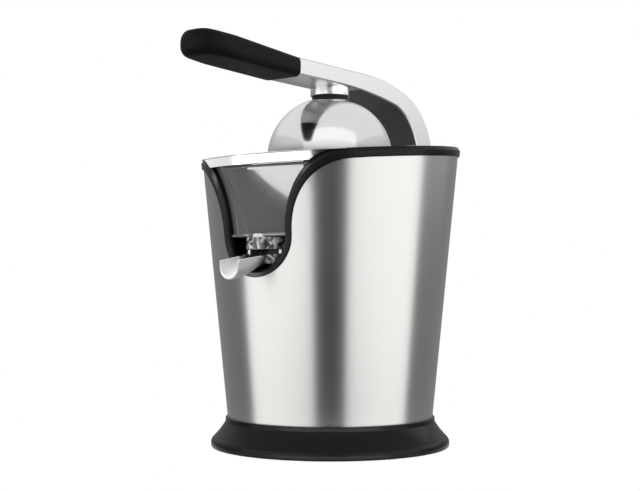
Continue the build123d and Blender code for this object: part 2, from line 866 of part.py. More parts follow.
def sweep_down(sweep, knuckle):
    # Turns from the end of a shallow arc to straight down at the knuckle
    start = sweep @ 1
    run = (knuckle.X - start.X) / (sweep % 1).X
    along = start + (sweep % 1) * run * sweep_fullness
    above = knuckle + Vector(0, (start.Y - knuckle.Y) * sweep_fullness)
    return Bezier(start, along, above, knuckle)


tang_z = (arm_top + arm_under) / 2
with BuildPart() as lever_arm:
    with BuildSketch(Plane.YZ):
        with BuildLine():
            Line((-grip_start, arm_top), (outer_bend_y, arm_top))
            crown = JernArc((outer_bend_y, arm_top), (1, 0), outer_sweep_radius, -outer_sweep)
            sweep_down(crown, knuckle_back)
            RadiusArc(knuckle_back, knuckle_front, knuckle_radius)
            Line((-grip_start, arm_under), (inner_bend_y, arm_under))
            belly = JernArc((inner_bend_y, arm_under), (1, 0), inner_sweep_radius, -inner_sweep)
            sweep_down(belly, knuckle_front)
            Line((-grip_start, arm_top), (-grip_start, arm_under))
        make_face()
    extrude(amount=arm_half, both=True)
    sides = lever_arm.faces().filter_by(Axis.X).edges()
    fillet(sides.filter_by_position(Axis.Y, -grip_start + arm_edge, hinge_y + reach), arm_edge)
    with BuildSketch(Plane.XZ.offset(grip_start)):
        with Locations((0, tang_z)):
            Rectangle(tang_width, tang_height)
    extrude(amount=tang_length)
    with BuildSketch(Plane.YZ):
        with Locations((hinge_y, hinge_z)):
            Circle(pin_radius + hinge_bush_wall + running_fit)
    extrude(amount=arm_half, both=True, mode=Mode.SUBTRACT)
lever_arm.part.label = "lever_arm"
export_step(lever_arm.part, "parts/lever_arm.step")

# Black grip over the arm's tang
grip_end = grip_start + grip_length
with BuildPart() as lever_grip:
    with BuildSketch(Plane.YZ):
        with BuildLine():
            Polyline(
                (-grip_start, arm_under - grip_skin),
                (-grip_start, arm_top + grip_overhang),
                (-grip_end, arm_top + grip_overhang + grip_top_rise),
                (-grip_end, arm_under - grip_skin + grip_under_rise),
                close=True,
            )
        make_face()
    extrude(amount=arm_half + grip_overhang, both=True)
    fillet(lever_grip.edges().filter_by(Axis.Z).group_by(Axis.Y)[0], grip_corner)
    upper = lever_grip.faces().sort_by(Axis.Z)[-1].edges()
    lower = lever_grip.faces().sort_by(Axis.Z)[0].edges()
    rim_edges = (upper + lower).filter_by_position(Axis.Y, -grip_end - 1, -grip_start - 1)
    fillet(rim_edges, grip_edge)
    with BuildSketch(Plane.XZ.offset(grip_start)):
        with Locations((0, tang_z)):
            Rectangle(tang_width + 2 * seat_fit, tang_height + 2 * seat_fit)
    extrude(amount=tang_length + loose_fit, mode=Mode.SUBTRACT)
lever_grip.part.label = "lever_grip"
export_step(lever_grip.part, "parts/lever_grip.step")

# Polished socket under the arm, with a bayonet ledge for the dome's stem
chamber = stem_radius + lug_reach + loose_fit
with BuildPart() as dome_socket:
    with BuildSketch(Plane.XY.offset(socket_low_z)):
        Circle(socket_radius)
    extrude(amount=tang_z - socket_low_z)
    add(lever_arm.part, mode=Mode.SUBTRACT)
    with BuildSketch(Plane.XY.offset(socket_low_z)):
        Circle(seal_radius + loose_fit)
    extrude(amount=socket_lip, mode=Mode.SUBTRACT)
    with BuildSketch(Plane.XY.offset(socket_low_z)):
        Circle(stem_radius + running_fit)
        with PolarLocations(0, 2, 90 + bayonet_turn):
            Rectangle(2 * chamber, lug_width + 2 * loose_fit)
    extrude(amount=socket_lip + socket_ledge, mode=Mode.SUBTRACT)
    with BuildSketch(Plane.XY.offset(chamber_low)):
        Circle(chamber)
    extrude(amount=tang_z - chamber_low, mode=Mode.SUBTRACT)
dome_socket.part.label = "dome_socket"
export_step(dome_socket.part, "parts/dome_socket.step")

# Polished press dome
with BuildPart() as press_dome:
    add(dome_solid(0.0))
    add(dome_solid(dome_sheet), mode=Mode.SUBTRACT)
    with BuildSketch(Plane.XY.offset(dome_z)):
        Circle(dome_screw_radius + seat_fit)
    extrude(amount=dome_height, mode=Mode.SUBTRACT)
press_dome.part.label = "press_dome"
export_step(press_dome.part, "parts/press_dome.step")

# Stem of the dome with its two bayonet lugs
lug_low = chamber_low + loose_fit
stem_top = lug_low + lug_height
with BuildPart() as dome_hub:
    with BuildSketch(Plane.XY.offset(dome_z)):
        Circle(stem_radius)
    extrude(amount=stem_top - dome_z)
    with BuildSketch(Plane.XY.offset(lug_low)):
        Circle(stem_radius + lug_reach)
        Rectangle(lug_width, 2 * chamber, mode=Mode.INTERSECT)
    extrude(amount=lug_height)
    add(dome_solid(0.0), mode=Mode.SUBTRACT)
    with BuildSketch(Plane.XY.offset(dome_top - dome_sheet)):
        Circle(dome_screw_radius + seat_fit)
    extrude(amount=dome_screw_grip + 2 * dome_sheet, mode=Mode.SUBTRACT)
dome_hub.part.label = "dome_hub"
export_step(dome_hub.part, "parts/dome_hub.step")

# Black seal ring between the dome and the socket
with BuildPart() as dome_seal:
    with BuildSketch(Plane.XY.offset(dome_z)):
        Circle(seal_radius)
        Circle(stem_radius + seat_fit, mode=Mode.SUBTRACT)
    extrude(amount=socket_low_z + seal_top - dome_z)
    add(dome_solid(0.0), mode=Mode.SUBTRACT)
dome_seal.part.label = "dome_seal"
export_step(dome_seal.part, "parts/dome_seal.step")

# Screw from inside the dome into its stem
head_top = dome_top - dome_sheet - dome_height * (dome_screw_head / dome_radius) ** 2
with BuildPart() as dome_screw:
    with BuildSketch(Plane.XY.offset(head_top)):
        Circle(dome_screw_head)
    extrude(amount=-dome_screw_head_height)
    with BuildSketch(Plane.XY.offset(head_top)):
        Circle(dome_screw_radius)
    extrude(amount=dome_screw_grip)
dome_screw.part.label = "dome_screw"
export_step(dome_screw.part, "parts/dome_screw.step")

# Reamer: ogive with ribs, hollow below, a hex hub on the shaft
reamer_low = reamer_base_z + reamer_flange_height
reamer_middle = (reamer_low + reamer_tip_z) / 2
with BuildPart() as reamer_rib:
    with BuildSketch(Plane.XZ):
        with BuildLine():
            ThreePointArc(
                (reamer_radius + rib_height, reamer_low),
                (reamer_belly + rib_height, reamer_middle),
                (reamer_tip, reamer_tip_z),
            )
            Polyline(
                (reamer_tip, reamer_tip_z),
                (0, reamer_tip_z),
                (0, reamer_low),
                (reamer_radius + rib_height, reamer_low),
            )
        make_face()
    extrude(amount=rib_width / 2, both=True)
with BuildPart() as reamer:
    with BuildSketch(Plane.XZ):
        with BuildLine():
            ThreePointArc(
                (reamer_radius, reamer_low), (reamer_belly, reamer_middle), (reamer_tip, reamer_tip_z)
            )
            Polyline(
                (reamer_tip, reamer_tip_z),
                (0, reamer_tip_z),
                (0, reamer_base_z),
                (reamer_flange, reamer_base_z),
                (reamer_flange, reamer_low),
                (reamer_radius, reamer_low),
            )
        make_face()
    revolve(axis=Axis.Z)
    with PolarLocations(0, rib_count):
        add(reamer_rib.part)
    with BuildSketch(Plane.XZ):
        with BuildLine():
            Polyline(
                (reamer_hub, reamer_base_z),
                (reamer_radius - reamer_wall, reamer_base_z),
                (reamer_belly - reamer_wall, reamer_middle),
                (reamer_hub, reamer_middle),
                close=True,
            )
        make_face()
    revolve(axis=Axis.Z, mode=Mode.SUBTRACT)
    with BuildSketch(Plane.XY.offset(cone_seat_z)):
        Circle(reamer_hub)
    extrude(amount=reamer_middle - cone_seat_z)
    with BuildSketch(Plane.XY.offset(cone_seat_z)):
        RegularPolygon(cone_hex / 2 + running_fit, 6, major_radius=False)
    extrude(amount=cone_hex_height + loose_fit, mode=Mode.SUBTRACT)
reamer.part.label = "reamer"
export_step(reamer.part, "parts/reamer.step")

# Drive shaft: hex foot in the output gear, start collar, round shank, hex head for the reamer
collar_top = collar_low_z + collar_height
with BuildPart() as drive_shaft:
    with BuildSketch(Plane.XY.offset(shaft_low_z)):
        RegularPolygon(shaft_hex / 2, 6, major_radius=False)
    extrude(amount=collar_low_z - shaft_low_z)
    with BuildSketch(Plane.XY.offset(collar_low_z)):
        Circle(collar_radius)
    extrude(amount=collar_height)
    with BuildSketch(Plane.XY.offset(collar_top)):
        Circle(shaft_radius)
    extrude(amount=cone_seat_z - collar_top)
    with BuildSketch(Plane.XY.offset(cone_seat_z)):
        RegularPolygon(cone_hex / 2, 6, major_radius=False)
    extrude(amount=cone_hex_height)
drive_shaft.part.label = "drive_shaft"
export_step(drive_shaft.part, "parts/drive_shaft.step")

# Return spring: a stack of folded disc springs under the shaft
spring_rise = (shaft_low_z - spring_low_z - spring_leaf) / spring_folds
with BuildPart() as return_spring:
    with BuildSketch(Plane.XZ):
        for fold in range(spring_folds):
            fold_z = spring_low_z + fold * spring_rise
            first, second = (spring_inner, spring_outer) if fold % 2 else (spring_outer, spring_inner)
            with BuildLine():
                Polyline(
                    (first, fold_z),
                    (second, fold_z + spring_rise),
                    (second, fold_z + spring_rise + spring_leaf),
                    (first, fold_z + spring_leaf),
                    close=True,
                )
            make_face()
    revolve(axis=Axis.Z)
return_spring.part.label = "return_spring"
export_step(return_spring.part, "parts/return_spring.step")

# Shaft bush and lip seal at the top of the hub tube
with BuildPart() as shaft_bush:
    with BuildSketch(Plane.XY.offset(tube_top - shaft_bush_length)):
        Circle(tube_bore - running_fit)
        Circle(shaft_radius + running_fit, mode=Mode.SUBTRACT)
    extrude(amount=shaft_bush_length)
shaft_bush.part.label = "shaft_bush"
export_step(shaft_bush.part, "parts/shaft_bush.step")

with BuildPart() as shaft_seal:
    with BuildSketch(Plane.XY.offset(tube_top)):
        Circle(seal_flange)
        Circle(shaft_radius + seat_fit, mode=Mode.SUBTRACT)
    extrude(amount=seal_flange_height)
shaft_seal.part.label = "shaft_seal"
export_step(shaft_seal.part, "parts/shaft_seal.step")

# Start switch on the gear cover; the shaft's collar pushes its plunger
cover_top = gear_top + gear_roof
switch_top = cover_top + switch_height
with BuildPart() as start_switch:
    with BuildSketch(Plane.XY.offset(cover_top)):
        with Locations((switch_x, 0)):
            Rectangle(switch_width, switch_length)
    extrude(amount=switch_height)
    with BuildSketch(Plane.XY.offset(switch_top - plunger_depth)):
        with Locations((switch_x, 0)):
            Circle(plunger_radius + running_fit)
    extrude(amount=plunger_depth, mode=Mode.SUBTRACT)
start_switch.part.label = "start_switch"
export_step(start_switch.part, "parts/start_switch.step")

with BuildPart() as switch_plunger:
    with BuildSketch(Plane.XY.offset(collar_low_z - seat_fit)):
        with Locations((switch_x, 0)):
            Circle(plunger_radius)
    extrude(amount=-(collar_low_z - seat_fit - switch_top + plunger_depth / 4))
switch_plunger.part.label = "switch_plunger"
export_step(switch_plunger.part, "parts/switch_plunger.step")

# Gear plate, which is also the motor's upper bracket
bush_low = gear_floor_z - bearing_length
with BuildPart() as gear_plate:
    with BuildSketch(Plane.XY.offset(gear_floor_z)):
        add(gearbox_outline(gear_wall))
        RectangleRounded(stack_size, stack_size, stack_corner)
        with Locations(*gear_ears):
            Circle(gear_ear)
    extrude(amount=-gear_plate_thickness)
    with BuildSketch(Plane.XY.offset(gear_floor_z)):
        Circle(bearing_boss)
    extrude(amount=-bearing_length)
    with BuildSketch(Plane.XY.offset(gear_floor_z)):
        Circle(bush_outer + running_fit)
        with Locations((0, gear_centre)):
            Circle(axle_radius + running_fit)
        with Locations(*gear_ears):
            Circle(screw_radius + seat_fit)
        with GridLocations(bolt_spread, bolt_spread, 2, 2):
            Circle(bolt_radius + seat_fit)
    extrude(amount=-bearing_length, mode=Mode.SUBTRACT)
gear_plate.part.label = "gear_plate"
export_step(gear_plate.part, "parts/gear_plate.step")

# Gear cover with ear columns up to the deck's bosses
bush_radius = output_hub + output_bush_wall
boss_top = cover_top + output_boss_height
with BuildPart() as gear_cover:
    with BuildSketch(Plane.XY.offset(gear_floor_z)):
        add(gearbox_outline(gear_wall))
    extrude(amount=gear_height + gear_roof)
    with BuildSketch(Plane.XY.offset(cover_top)):
        Circle(bush_radius + output_boss_wall)
    extrude(amount=output_boss_height)
    with BuildSketch(Plane.XY.offset(gear_floor_z)):
        with Locations(*gear_ears):
            Circle(gear_ear)
    extrude(amount=deck_z - boss_height - gear_floor_z)
    with BuildSketch(Plane.XY.offset(gear_floor_z)):
        add(gearbox_outline(0.0))
    extrude(amount=gear_height, mode=Mode.SUBTRACT)
    with BuildSketch(Plane.XY.offset(gear_floor_z)):
        Circle(bush_radius + running_fit)
        with Locations((0, gear_centre)):
            Circle(axle_radius + running_fit)
        with Locations(*gear_ears):
            Circle(screw_radius + seat_fit)
    extrude(amount=deck_z - gear_floor_z, mode=Mode.SUBTRACT)
gear_cover.part.label = "gear_cover"
export_step(gear_cover.part, "parts/gear_cover.step")

# Screws that hang the gearbox from the deck
gear_screw_z = gear_floor_z - gear_plate_thickness
with BuildPart() as gear_screws:
    with BuildSketch(Plane.XY.offset(gear_screw_z)):
        with Locations(*gear_ears):
            Circle(screw_head)
    extrude(amount=-screw_head_height)
    with BuildSketch(Plane.XY.offset(gear_screw_z)):
        with Locations(*gear_ears):
            Circle(screw_radius)
    extrude(amount=deck_z - loose_fit - gear_screw_z)
gear_screws.part.label = "gear_screws"
export_step(gear_screws.part, "parts/gear_screws.step")

# Idler axle and the compound idler gear
with BuildPart() as idler_axle:
    with BuildSketch(Plane.XY.offset(gear_screw_z)):
        with Locations((0, gear_centre)):
            Circle(axle_radius)
    extrude(amount=cover_top - gear_screw_z)
idler_axle.part.label = "idler_axle"
export_step(idler_axle.part, "parts/idler_axle.step")

wheel_half_pitch = 180 / wheel_teeth
idler_wheel = gear_face(wheel_teeth, 2, 270 + wheel_half_pitch)
idler_pinion = gear_face(pinion_teeth, 4, 270)
output_wheel = gear_face(wheel_teeth, 2, 90 + wheel_half_pitch)
motor_gear = gear_face(pinion_teeth, 4, 90)
with BuildPart() as idler_gear:
    with BuildSketch(Plane.XY.offset(lower_wheel_z)):
        with Locations((0, gear_centre)):
            add(idler_wheel)
    extrude(amount=wheel_width)
    with BuildSketch(Plane.XY.offset(lower_wheel_z + wheel_width)):
        with Locations((0, gear_centre)):
            add(idler_pinion)
    extrude(amount=gear_step / 2 + pinion_width + gear_step / 2)
    with BuildSketch(Plane.XY.offset(gear_floor_z + loose_fit)):
        with Locations((0, gear_centre)):
            Circle(idler_hub)
    extrude(amount=gear_height - 2 * loose_fit)
    with BuildSketch(Plane.XY.offset(gear_floor_z)):
        with Locations((0, gear_centre)):
            Circle(axle_radius + running_fit)
    extrude(amount=gear_height, mode=Mode.SUBTRACT)
idler_gear.part.label = "idler_gear"
export_step(idler_gear.part, "parts/idler_gear.step")

# Output gear with a long hub, blind hex bore and clip groove
clip_z = boss_top + loose_fit
with BuildPart() as output_gear:
    with BuildSketch(Plane.XY.offset(upper_wheel_z)):
        add(output_wheel)
    extrude(amount=wheel_width)
    with BuildSketch(Plane.XY.offset(upper_wheel_z)):
        Circle(output_hub)
    extrude(amount=clip_z + 2 * clip_height - upper_wheel_z)
    with BuildSketch(Plane.XY.offset(spring_low_z)):
        RegularPolygon(shaft_hex / 2 + running_fit, 6, major_radius=False)
    extrude(amount=reach, mode=Mode.SUBTRACT)
    with BuildSketch(Plane.XY.offset(clip_z)):
        Circle(output_hub)
        Circle(output_hub - clip_groove, mode=Mode.SUBTRACT)
    extrude(amount=clip_height, mode=Mode.SUBTRACT)
output_gear.part.label = "output_gear"
export_step(output_gear.part, "parts/output_gear.step")

with BuildPart() as output_bush:
    with BuildSketch(Plane.XY.offset(gear_top)):
        Circle(bush_radius)
        Circle(output_hub + running_fit, mode=Mode.SUBTRACT)
    extrude(amount=boss_top - gear_top)
output_bush.part.label = "output_bush"
export_step(output_bush.part, "parts/output_bush.step")

with BuildPart() as hub_clip:
    with BuildSketch(Plane.XY.offset(clip_z + running_fit)):
        Circle(clip_radius)
        Circle(output_hub - clip_groove + running_fit, mode=Mode.SUBTRACT)
        Rectangle(output_hub, clip_radius, align=(Align.CENTER, Align.MIN), mode=Mode.SUBTRACT)
    extrude(amount=clip_height - 2 * running_fit)
hub_clip.part.label = "hub_clip"
export_step(hub_clip.part, "parts/hub_clip.step")

# Motor: laminated stack, end windings, lower bracket, spacers and through bolts
stack_top = stack_low_z + stack_height
with BuildPart() as motor_stator:
    with BuildSketch(Plane.XY.offset(stack_low_z)):
        RectangleRounded(stack_size, stack_size, stack_corner)
        Circle(rotor_radius + air_gap, mode=Mode.SUBTRACT)
        with GridLocations(bolt_spread, bolt_spread, 2, 2):
            Circle(bolt_radius + seat_fit, mode=Mode.SUBTRACT)
    extrude(amount=stack_height)
motor_stator.part.label = "motor_stator"
export_step(motor_stator.part, "parts/motor_stator.step")

with BuildPart() as motor_windings:
    with BuildSketch(Plane.XZ):
        for winding_z in (stack_low_z - winding_height / 2, stack_top + winding_height / 2):
            with Locations(((winding_inner + winding_outer) / 2, winding_z)):
                RectangleRounded(winding_outer - winding_inner, winding_height, winding_round)
    revolve(axis=Axis.Z)
motor_windings.part.label = "motor_windings"
export_step(motor_windings.part, "parts/motor_windings.step")

bracket_top = bracket_z + bracket_thickness
with BuildPart() as motor_bracket:
    with BuildSketch(Plane.XY.offset(bracket_z)):
        RectangleRounded(stack_size, stack_size, stack_corner)
        with PolarLocations(bearing_boss + bracket_window, 4):
            Circle(bracket_window - bracket_thickness, mode=Mode.SUBTRACT)
        with GridLocations(bolt_spread, bolt_spread, 2, 2):
            Circle(bolt_radius + seat_fit, mode=Mode.SUBTRACT)
    extrude(amount=bracket_thickness)
    with BuildSketch(Plane.XY.offset(bracket_z)):
        Circle(bearing_boss)
    extrude(amount=bearing_length)
    with BuildSketch(Plane.XY.offset(bracket_z)):
        Circle(bush_outer + running_fit)
    extrude(amount=bearing_length, mode=Mode.SUBTRACT)
motor_bracket.part.label = "motor_bracket"
export_step(motor_bracket.part, "parts/motor_bracket.step")

with BuildPart() as motor_spacers:
    for low, high in ((bracket_top, stack_low_z), (stack_top, gear_screw_z)):
        with BuildSketch(Plane.XY.offset(low)):
            with GridLocations(bolt_spread, bolt_spread, 2, 2):
                Circle(bolt_radius + seat_fit + spacer_wall)
                Circle(bolt_radius + seat_fit, mode=Mode.SUBTRACT)
        extrude(amount=high - low)
motor_spacers.part.label = "motor_spacers"
export_step(motor_spacers.part, "parts/motor_spacers.step")

with BuildPart() as motor_bolts:
    with BuildSketch(Plane.XY.offset(bracket_z)):
        with GridLocations(bolt_spread, bolt_spread, 2, 2):
            Circle(bolt_radius + spacer_wall)
    extrude(amount=-screw_head_height)
    with BuildSketch(Plane.XY.offset(bracket_z)):
        with GridLocations(bolt_spread, bolt_spread, 2, 2):
            Circle(bolt_radius)
    extrude(amount=gear_floor_z - loose_fit - bracket_z)
motor_bolts.part.label = "motor_bolts"
export_step(motor_bolts.part, "parts/motor_bolts.step")

with BuildPart() as motor_bushes:
    for low in (bracket_z, bush_low):
        with BuildSketch(Plane.XY.offset(low)):
            Circle(bush_outer)
            Circle(motor_shaft + running_fit, mode=Mode.SUBTRACT)
        extrude(amount=bearing_length)
motor_bushes.part.label = "motor_bushes"
export_step(motor_bushes.part, "parts/motor_bushes.step")

# Rotor with its shaft, the motor pinion and the cooling fan
pinion_top = upper_wheel_z - gear_step / 2
with BuildPart() as motor_rotor:
    with BuildSketch(Plane.XY.offset(stack_low_z)):
        Circle(rotor_radius)
    extrude(amount=stack_height)
    with BuildSketch(Plane.XY.offset(fan_low_z)):
        Circle(motor_shaft)
    extrude(amount=pinion_top - fan_low_z)
motor_rotor.part.label = "motor_rotor"
export_step(motor_rotor.part, "parts/motor_rotor.step")

with BuildPart() as motor_pinion:
    with BuildSketch(Plane.XY.offset(gear_floor_z + gear_step / 2)):
        add(motor_gear)
        Circle(motor_shaft + running_fit, mode=Mode.SUBTRACT)
    extrude(amount=pinion_top - gear_floor_z - gear_step / 2)
motor_pinion.part.label = "motor_pinion"
export_step(motor_pinion.part, "parts/motor_pinion.step")

with BuildPart() as cooling_fan:
    with BuildSketch(Plane.XY.offset(fan_low_z)):
        Circle(fan_radius)
    extrude(amount=fan_disc)
    with BuildSketch(Plane.XY.offset(fan_low_z)):
        Circle(fan_hub)
        with PolarLocations(0, fan_blades):
            with Locations((fan_hub / 2, 0)):
                Rectangle(fan_radius - fan_hub / 2, fan_blade, align=(Align.MIN, Align.CENTER))
    extrude(amount=fan_height)
    with BuildSketch(Plane.XY.offset(fan_low_z)):
        Circle(motor_shaft + running_fit)
    extrude(amount=fan_height, mode=Mode.SUBTRACT)
cooling_fan.part.label = "cooling_fan"
export_step(cooling_fan.part, "parts/cooling_fan.step")

# Rubber gland where the cord would enter the back of the base
gland_in = math.sqrt(base_inner**2 - gland_flange**2) - seat_fit
gland_out = base_radius + gland_flange_height
with BuildPart() as cord_gland:
    with BuildSketch(Plane.XZ.offset(-gland_in + gland_flange_height)):
        with Locations((0, gland_z)):
            Circle(gland_flange)
    extrude(amount=-gland_flange_height)
    with BuildSketch(Plane.XZ.offset(-gland_in)):
        with Locations((0, gland_z)):
            Circle(gland_radius)
    extrude(amount=-(gland_out - gland_in))
    with BuildSketch(Plane.XZ.offset(-gland_in + gland_flange_height)):
        with Locations((0, gland_z)):
            Circle(gland_bore)
    extrude(amount=-reach, mode=Mode.SUBTRACT)
cord_gland.part.label = "cord_gland"
export_step(cord_gland.part, "parts/cord_gland.step")
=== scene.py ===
import bpy
import bmesh
import json
import math
import numpy as np
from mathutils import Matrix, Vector


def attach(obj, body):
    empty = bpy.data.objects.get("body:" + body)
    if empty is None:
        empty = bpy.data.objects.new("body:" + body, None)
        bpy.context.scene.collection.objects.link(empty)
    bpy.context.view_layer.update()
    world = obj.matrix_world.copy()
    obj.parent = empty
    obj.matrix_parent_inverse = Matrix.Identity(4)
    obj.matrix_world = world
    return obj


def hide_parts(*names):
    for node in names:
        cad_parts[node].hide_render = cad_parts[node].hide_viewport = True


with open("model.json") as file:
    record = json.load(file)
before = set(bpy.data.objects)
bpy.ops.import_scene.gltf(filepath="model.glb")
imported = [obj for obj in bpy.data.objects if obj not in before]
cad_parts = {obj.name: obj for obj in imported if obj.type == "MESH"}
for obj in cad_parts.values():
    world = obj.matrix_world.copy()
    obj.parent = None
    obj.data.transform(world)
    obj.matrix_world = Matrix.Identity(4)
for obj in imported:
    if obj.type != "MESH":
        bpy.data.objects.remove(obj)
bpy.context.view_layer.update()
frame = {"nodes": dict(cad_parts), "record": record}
record = frame["record"]
mm = 0.001
mergeGap = 1e-6  # m: points closer than this become one
leastRound = 1e-4  # mm: stands in for a sharp corner
print("frame loaded:", len(frame["nodes"]), "nodes")

# the tapered body: everything round it is placed by offsets from the steel's outer face, in mm
body = {"lowZ": 24.0, "lowRadius": 79.1, "taper": 0.1012, "rimZ": 226.6, "rimTilt": math.radians(4.66)}


def coneRadius(z, offset=0.0):
    # radius of the steel at a height, moved out by an offset
    return body["lowRadius"] + body["taper"] * (z - body["lowZ"]) + offset


def rimHeight(theta, drop):
    # height of the tilted rim plane on the cone, z = top + y tan(tilt), with y = -radius cos(theta)
    slope = np.cos(theta) * math.tan(body["rimTilt"])
    top = body["rimZ"] - drop / math.cos(body["rimTilt"])
    foot = body["lowRadius"] - body["taper"] * body["lowZ"]
    return (top - foot * slope) / (1 + body["taper"] * slope)


def onCone(theta, z, offset):
    # point on the cone: theta runs from the spout round to +X
    radius = coneRadius(z, offset)
    return np.stack([radius * np.sin(theta), -radius * np.cos(theta), z + 0 * theta], -1)


def eased(share):
    # smooth step that is level at both ends: three squares less two cubes
    return share ** 2 * (3 - 2 * share)


def unit(vectors):
    # each row divided by its length
    return vectors / np.linalg.norm(vectors, axis=1)[:, None]


def gridFaces(rows, columns, loopRows, loopColumns):
    # quads between neighbouring grid points, wrapped round where the grid closes
    row = np.arange(rows if loopRows else rows - 1)
    column = np.arange(columns if loopColumns else columns - 1)
    a, b = np.meshgrid(row, column, indexing="ij")
    c, d = (a + 1) % rows, (b + 1) % columns
    return np.stack([a * columns + b, c * columns + b, c * columns + d, a * columns + d], -1).reshape(-1, 4)


def putMesh(name, points, loopRows=False, loopColumns=False, caps=(), sharp=32.0):
    # a grid of points in mm becomes one mesh with outward faces; caps are rows closed by one face
    rows, columns = points.shape[:2]
    faces = gridFaces(rows, columns, loopRows, loopColumns).tolist()
    faces += (np.array(caps, int)[:, None] % rows * columns + np.arange(columns)).tolist()
    mesh = bpy.data.meshes.new(name)
    mesh.from_pydata((points.reshape(-1, 3) * mm).tolist(), [], faces)
    work = bmesh.new()
    work.from_mesh(mesh)
    bmesh.ops.remove_doubles(work, verts=work.verts, dist=mergeGap)
    bmesh.ops.recalc_face_normals(work, faces=work.faces)
    work.to_mesh(mesh)
    work.free()
    mesh.shade_smooth()
    mesh.set_sharp_from_angle(angle=math.radians(sharp))
    piece = bpy.data.objects.new(name, mesh)
    bpy.context.scene.collection.objects.link(piece)
    return piece


def roundCorners(points, radii, steps):
    # closed outline whose corners are arcs tangent to both sides
    points, radii = np.array(points, float), np.maximum(np.array(radii, float), leastRound)
    back, ahead = unit(np.roll(points, 1, 0) - points), unit(np.roll(points, -1, 0) - points)
    half = np.arccos(np.clip((back * ahead).sum(1), -1, 1)) / 2
    centre = points + unit(back + ahead) * (radii / np.sin(half))[:, None]
    reach = (radii / np.tan(half))[:, None]
    first = (points + back * reach - centre)[:, None]
    last = (points + ahead * reach - centre)[:, None]
    turn = (math.pi - 2 * half)[:, None, None]
    share = np.linspace(0, 1, steps + 1)[None, :, None]
    arc = (np.sin((1 - share) * turn) * first + np.sin(share * turn) * last) / np.sin(turn)
    return (centre[:, None] + arc).reshape(-1, 2)


def middleArcs(points, radii, steps):
    # only the arcs at the second and third corners of an outline
    return roundCorners(points, radii, steps)[steps + 1:3 * (steps + 1)]


def turned(name, outline, segments, sharp=32.0):
    # outline of radius and height carried round the Z axis
    angle = np.linspace(0, 2 * math.pi, segments, endpoint=False)[:, None]
    radius, height = outline[None, :, 0], outline[None, :, 1]
    grid = np.stack([radius * np.cos(angle), radius * np.sin(angle), height + 0 * angle], -1)
    return putMesh(name, grid, True, True, sharp=sharp)


def roundBand(half, low, high, edge, steps=7):
    # rounded rectangle for every station: four arcs with straight runs between them
    angle = np.linspace(0, math.pi / 2, steps)
    corner = np.concatenate([angle, angle + math.pi / 2, angle + math.pi, angle + 1.5 * math.pi])
    side = np.repeat([1, -1, -1, 1], steps)
    up = np.repeat([1, 1, -1, -1], steps)
    half, low, high, edge = [np.asarray(a, float)[:, None] for a in (half, low, high, edge)]
    x = side * (half - edge) + edge * np.cos(corner)
    z = np.where(up > 0, high - edge, low + edge) + edge * np.sin(corner)
    return x, z


def tube(path, side, radius, steps=10):
    # circle carried along a path; side is roughly square to it
    along = unit(np.gradient(path, axis=0))
    across = unit(np.cross(along, side))
    side = np.cross(across, along)
    angle = np.linspace(0, 2 * math.pi, steps, endpoint=False)[None, :, None]
    return path[:, None] + radius * (np.cos(angle) * side[:, None] + np.sin(angle) * across[:, None])


def dress(piece, bodyName, slot, *nodes, finish=None):
    # the piece moves with a body, stands for CAD nodes, and wears its slot's finish or one of its own
    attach(piece, bodyName)
    if nodes:
        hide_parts(*nodes)
    piece.data.materials.append(finish or finishes[slot])


class Wire:
    # a socket in a material; arithmetic on it adds Math nodes
    def __init__(self, tree, socket=None):
        self.tree, self.socket = tree, socket

    def node(self, kind, settings=None, inputs=None, out=0):
        # any node: settings first, then the values or links of its sockets
        made = self.tree.nodes.new(kind)
        for key, value in (settings or {}).items():
            if key == "stops":
                ramp = made.color_ramp.elements
                while len(ramp) < len(value):
                    ramp.new(1.0)
                for stop, (place, shade) in zip(ramp, value):
                    stop.position = place
                    stop.color = (shade, shade, shade, 1)
            else:
                setattr(made, key, value)
        self.feed(made, inputs or {})
        return Wire(self.tree, made.outputs[out])

    def feed(self, target, values):
        # values or links for the sockets of a node
        for key, value in values.items():
            if isinstance(value, Wire):
                self.tree.links.new(value.socket, target.inputs[key])
            else:
                target.inputs[key].default_value = value

    def math(self, operation, *values):
        # one Math node on two values
        return self.node("ShaderNodeMath", {"operation": operation}, dict(enumerate(values)))

    def __add__(self, other):
        return self.math("ADD", self, other)

    def __radd__(self, other):
        return self.math("ADD", other, self)

    def __sub__(self, other):
        return self.math("SUBTRACT", self, other)

    def __rsub__(self, other):
        return self.math("SUBTRACT", other, self)

    def __mul__(self, other):
        return self.math("MULTIPLY", self, other)

    def __rmul__(self, other):
        return self.math("MULTIPLY", other, self)


def newMaterial(name):
    # empty material: its shader and a Wire on Object coordinates
    material = bpy.data.materials.new(name)
    material.use_nodes = True
    tree = material.node_tree
    return material, tree.nodes["Principled BSDF"], Wire(tree).node("ShaderNodeTexCoord", out="Object")


def grey(level):
    # neutral colour of one level
    return level, level, level


def noise(place, scale, detail=3.0, stretch=(1, 1, 1), curl=0.0):
    # noise of about 1/scale metres, stretched along the axes and curled into swirls
    spread = place.node("ShaderNodeMapping", inputs={"Vector": place, "Scale": stretch})
    return place.node("ShaderNodeTexNoise", inputs={"Vector": spread, "Scale": scale, "Detail": detail,
                                                    "Distortion": curl})


def blend(place, factor, first, second):
    # first colour turned into the second by a factor
    return place.node("ShaderNodeMix", {"data_type": "RGBA"}, {0: factor, 6: first, 7: second}, out=2)


def tint(place, factor, dark, light):
    # colour between two fixed ones, by a factor
    return blend(place, factor, (*dark, 1), (*light, 1))


def relief(place, height, strength, distance):
    # normal tilted by the slope of a height
    return place.node("ShaderNodeBump", inputs={"Height": height, "Strength": strength, "Distance": distance})


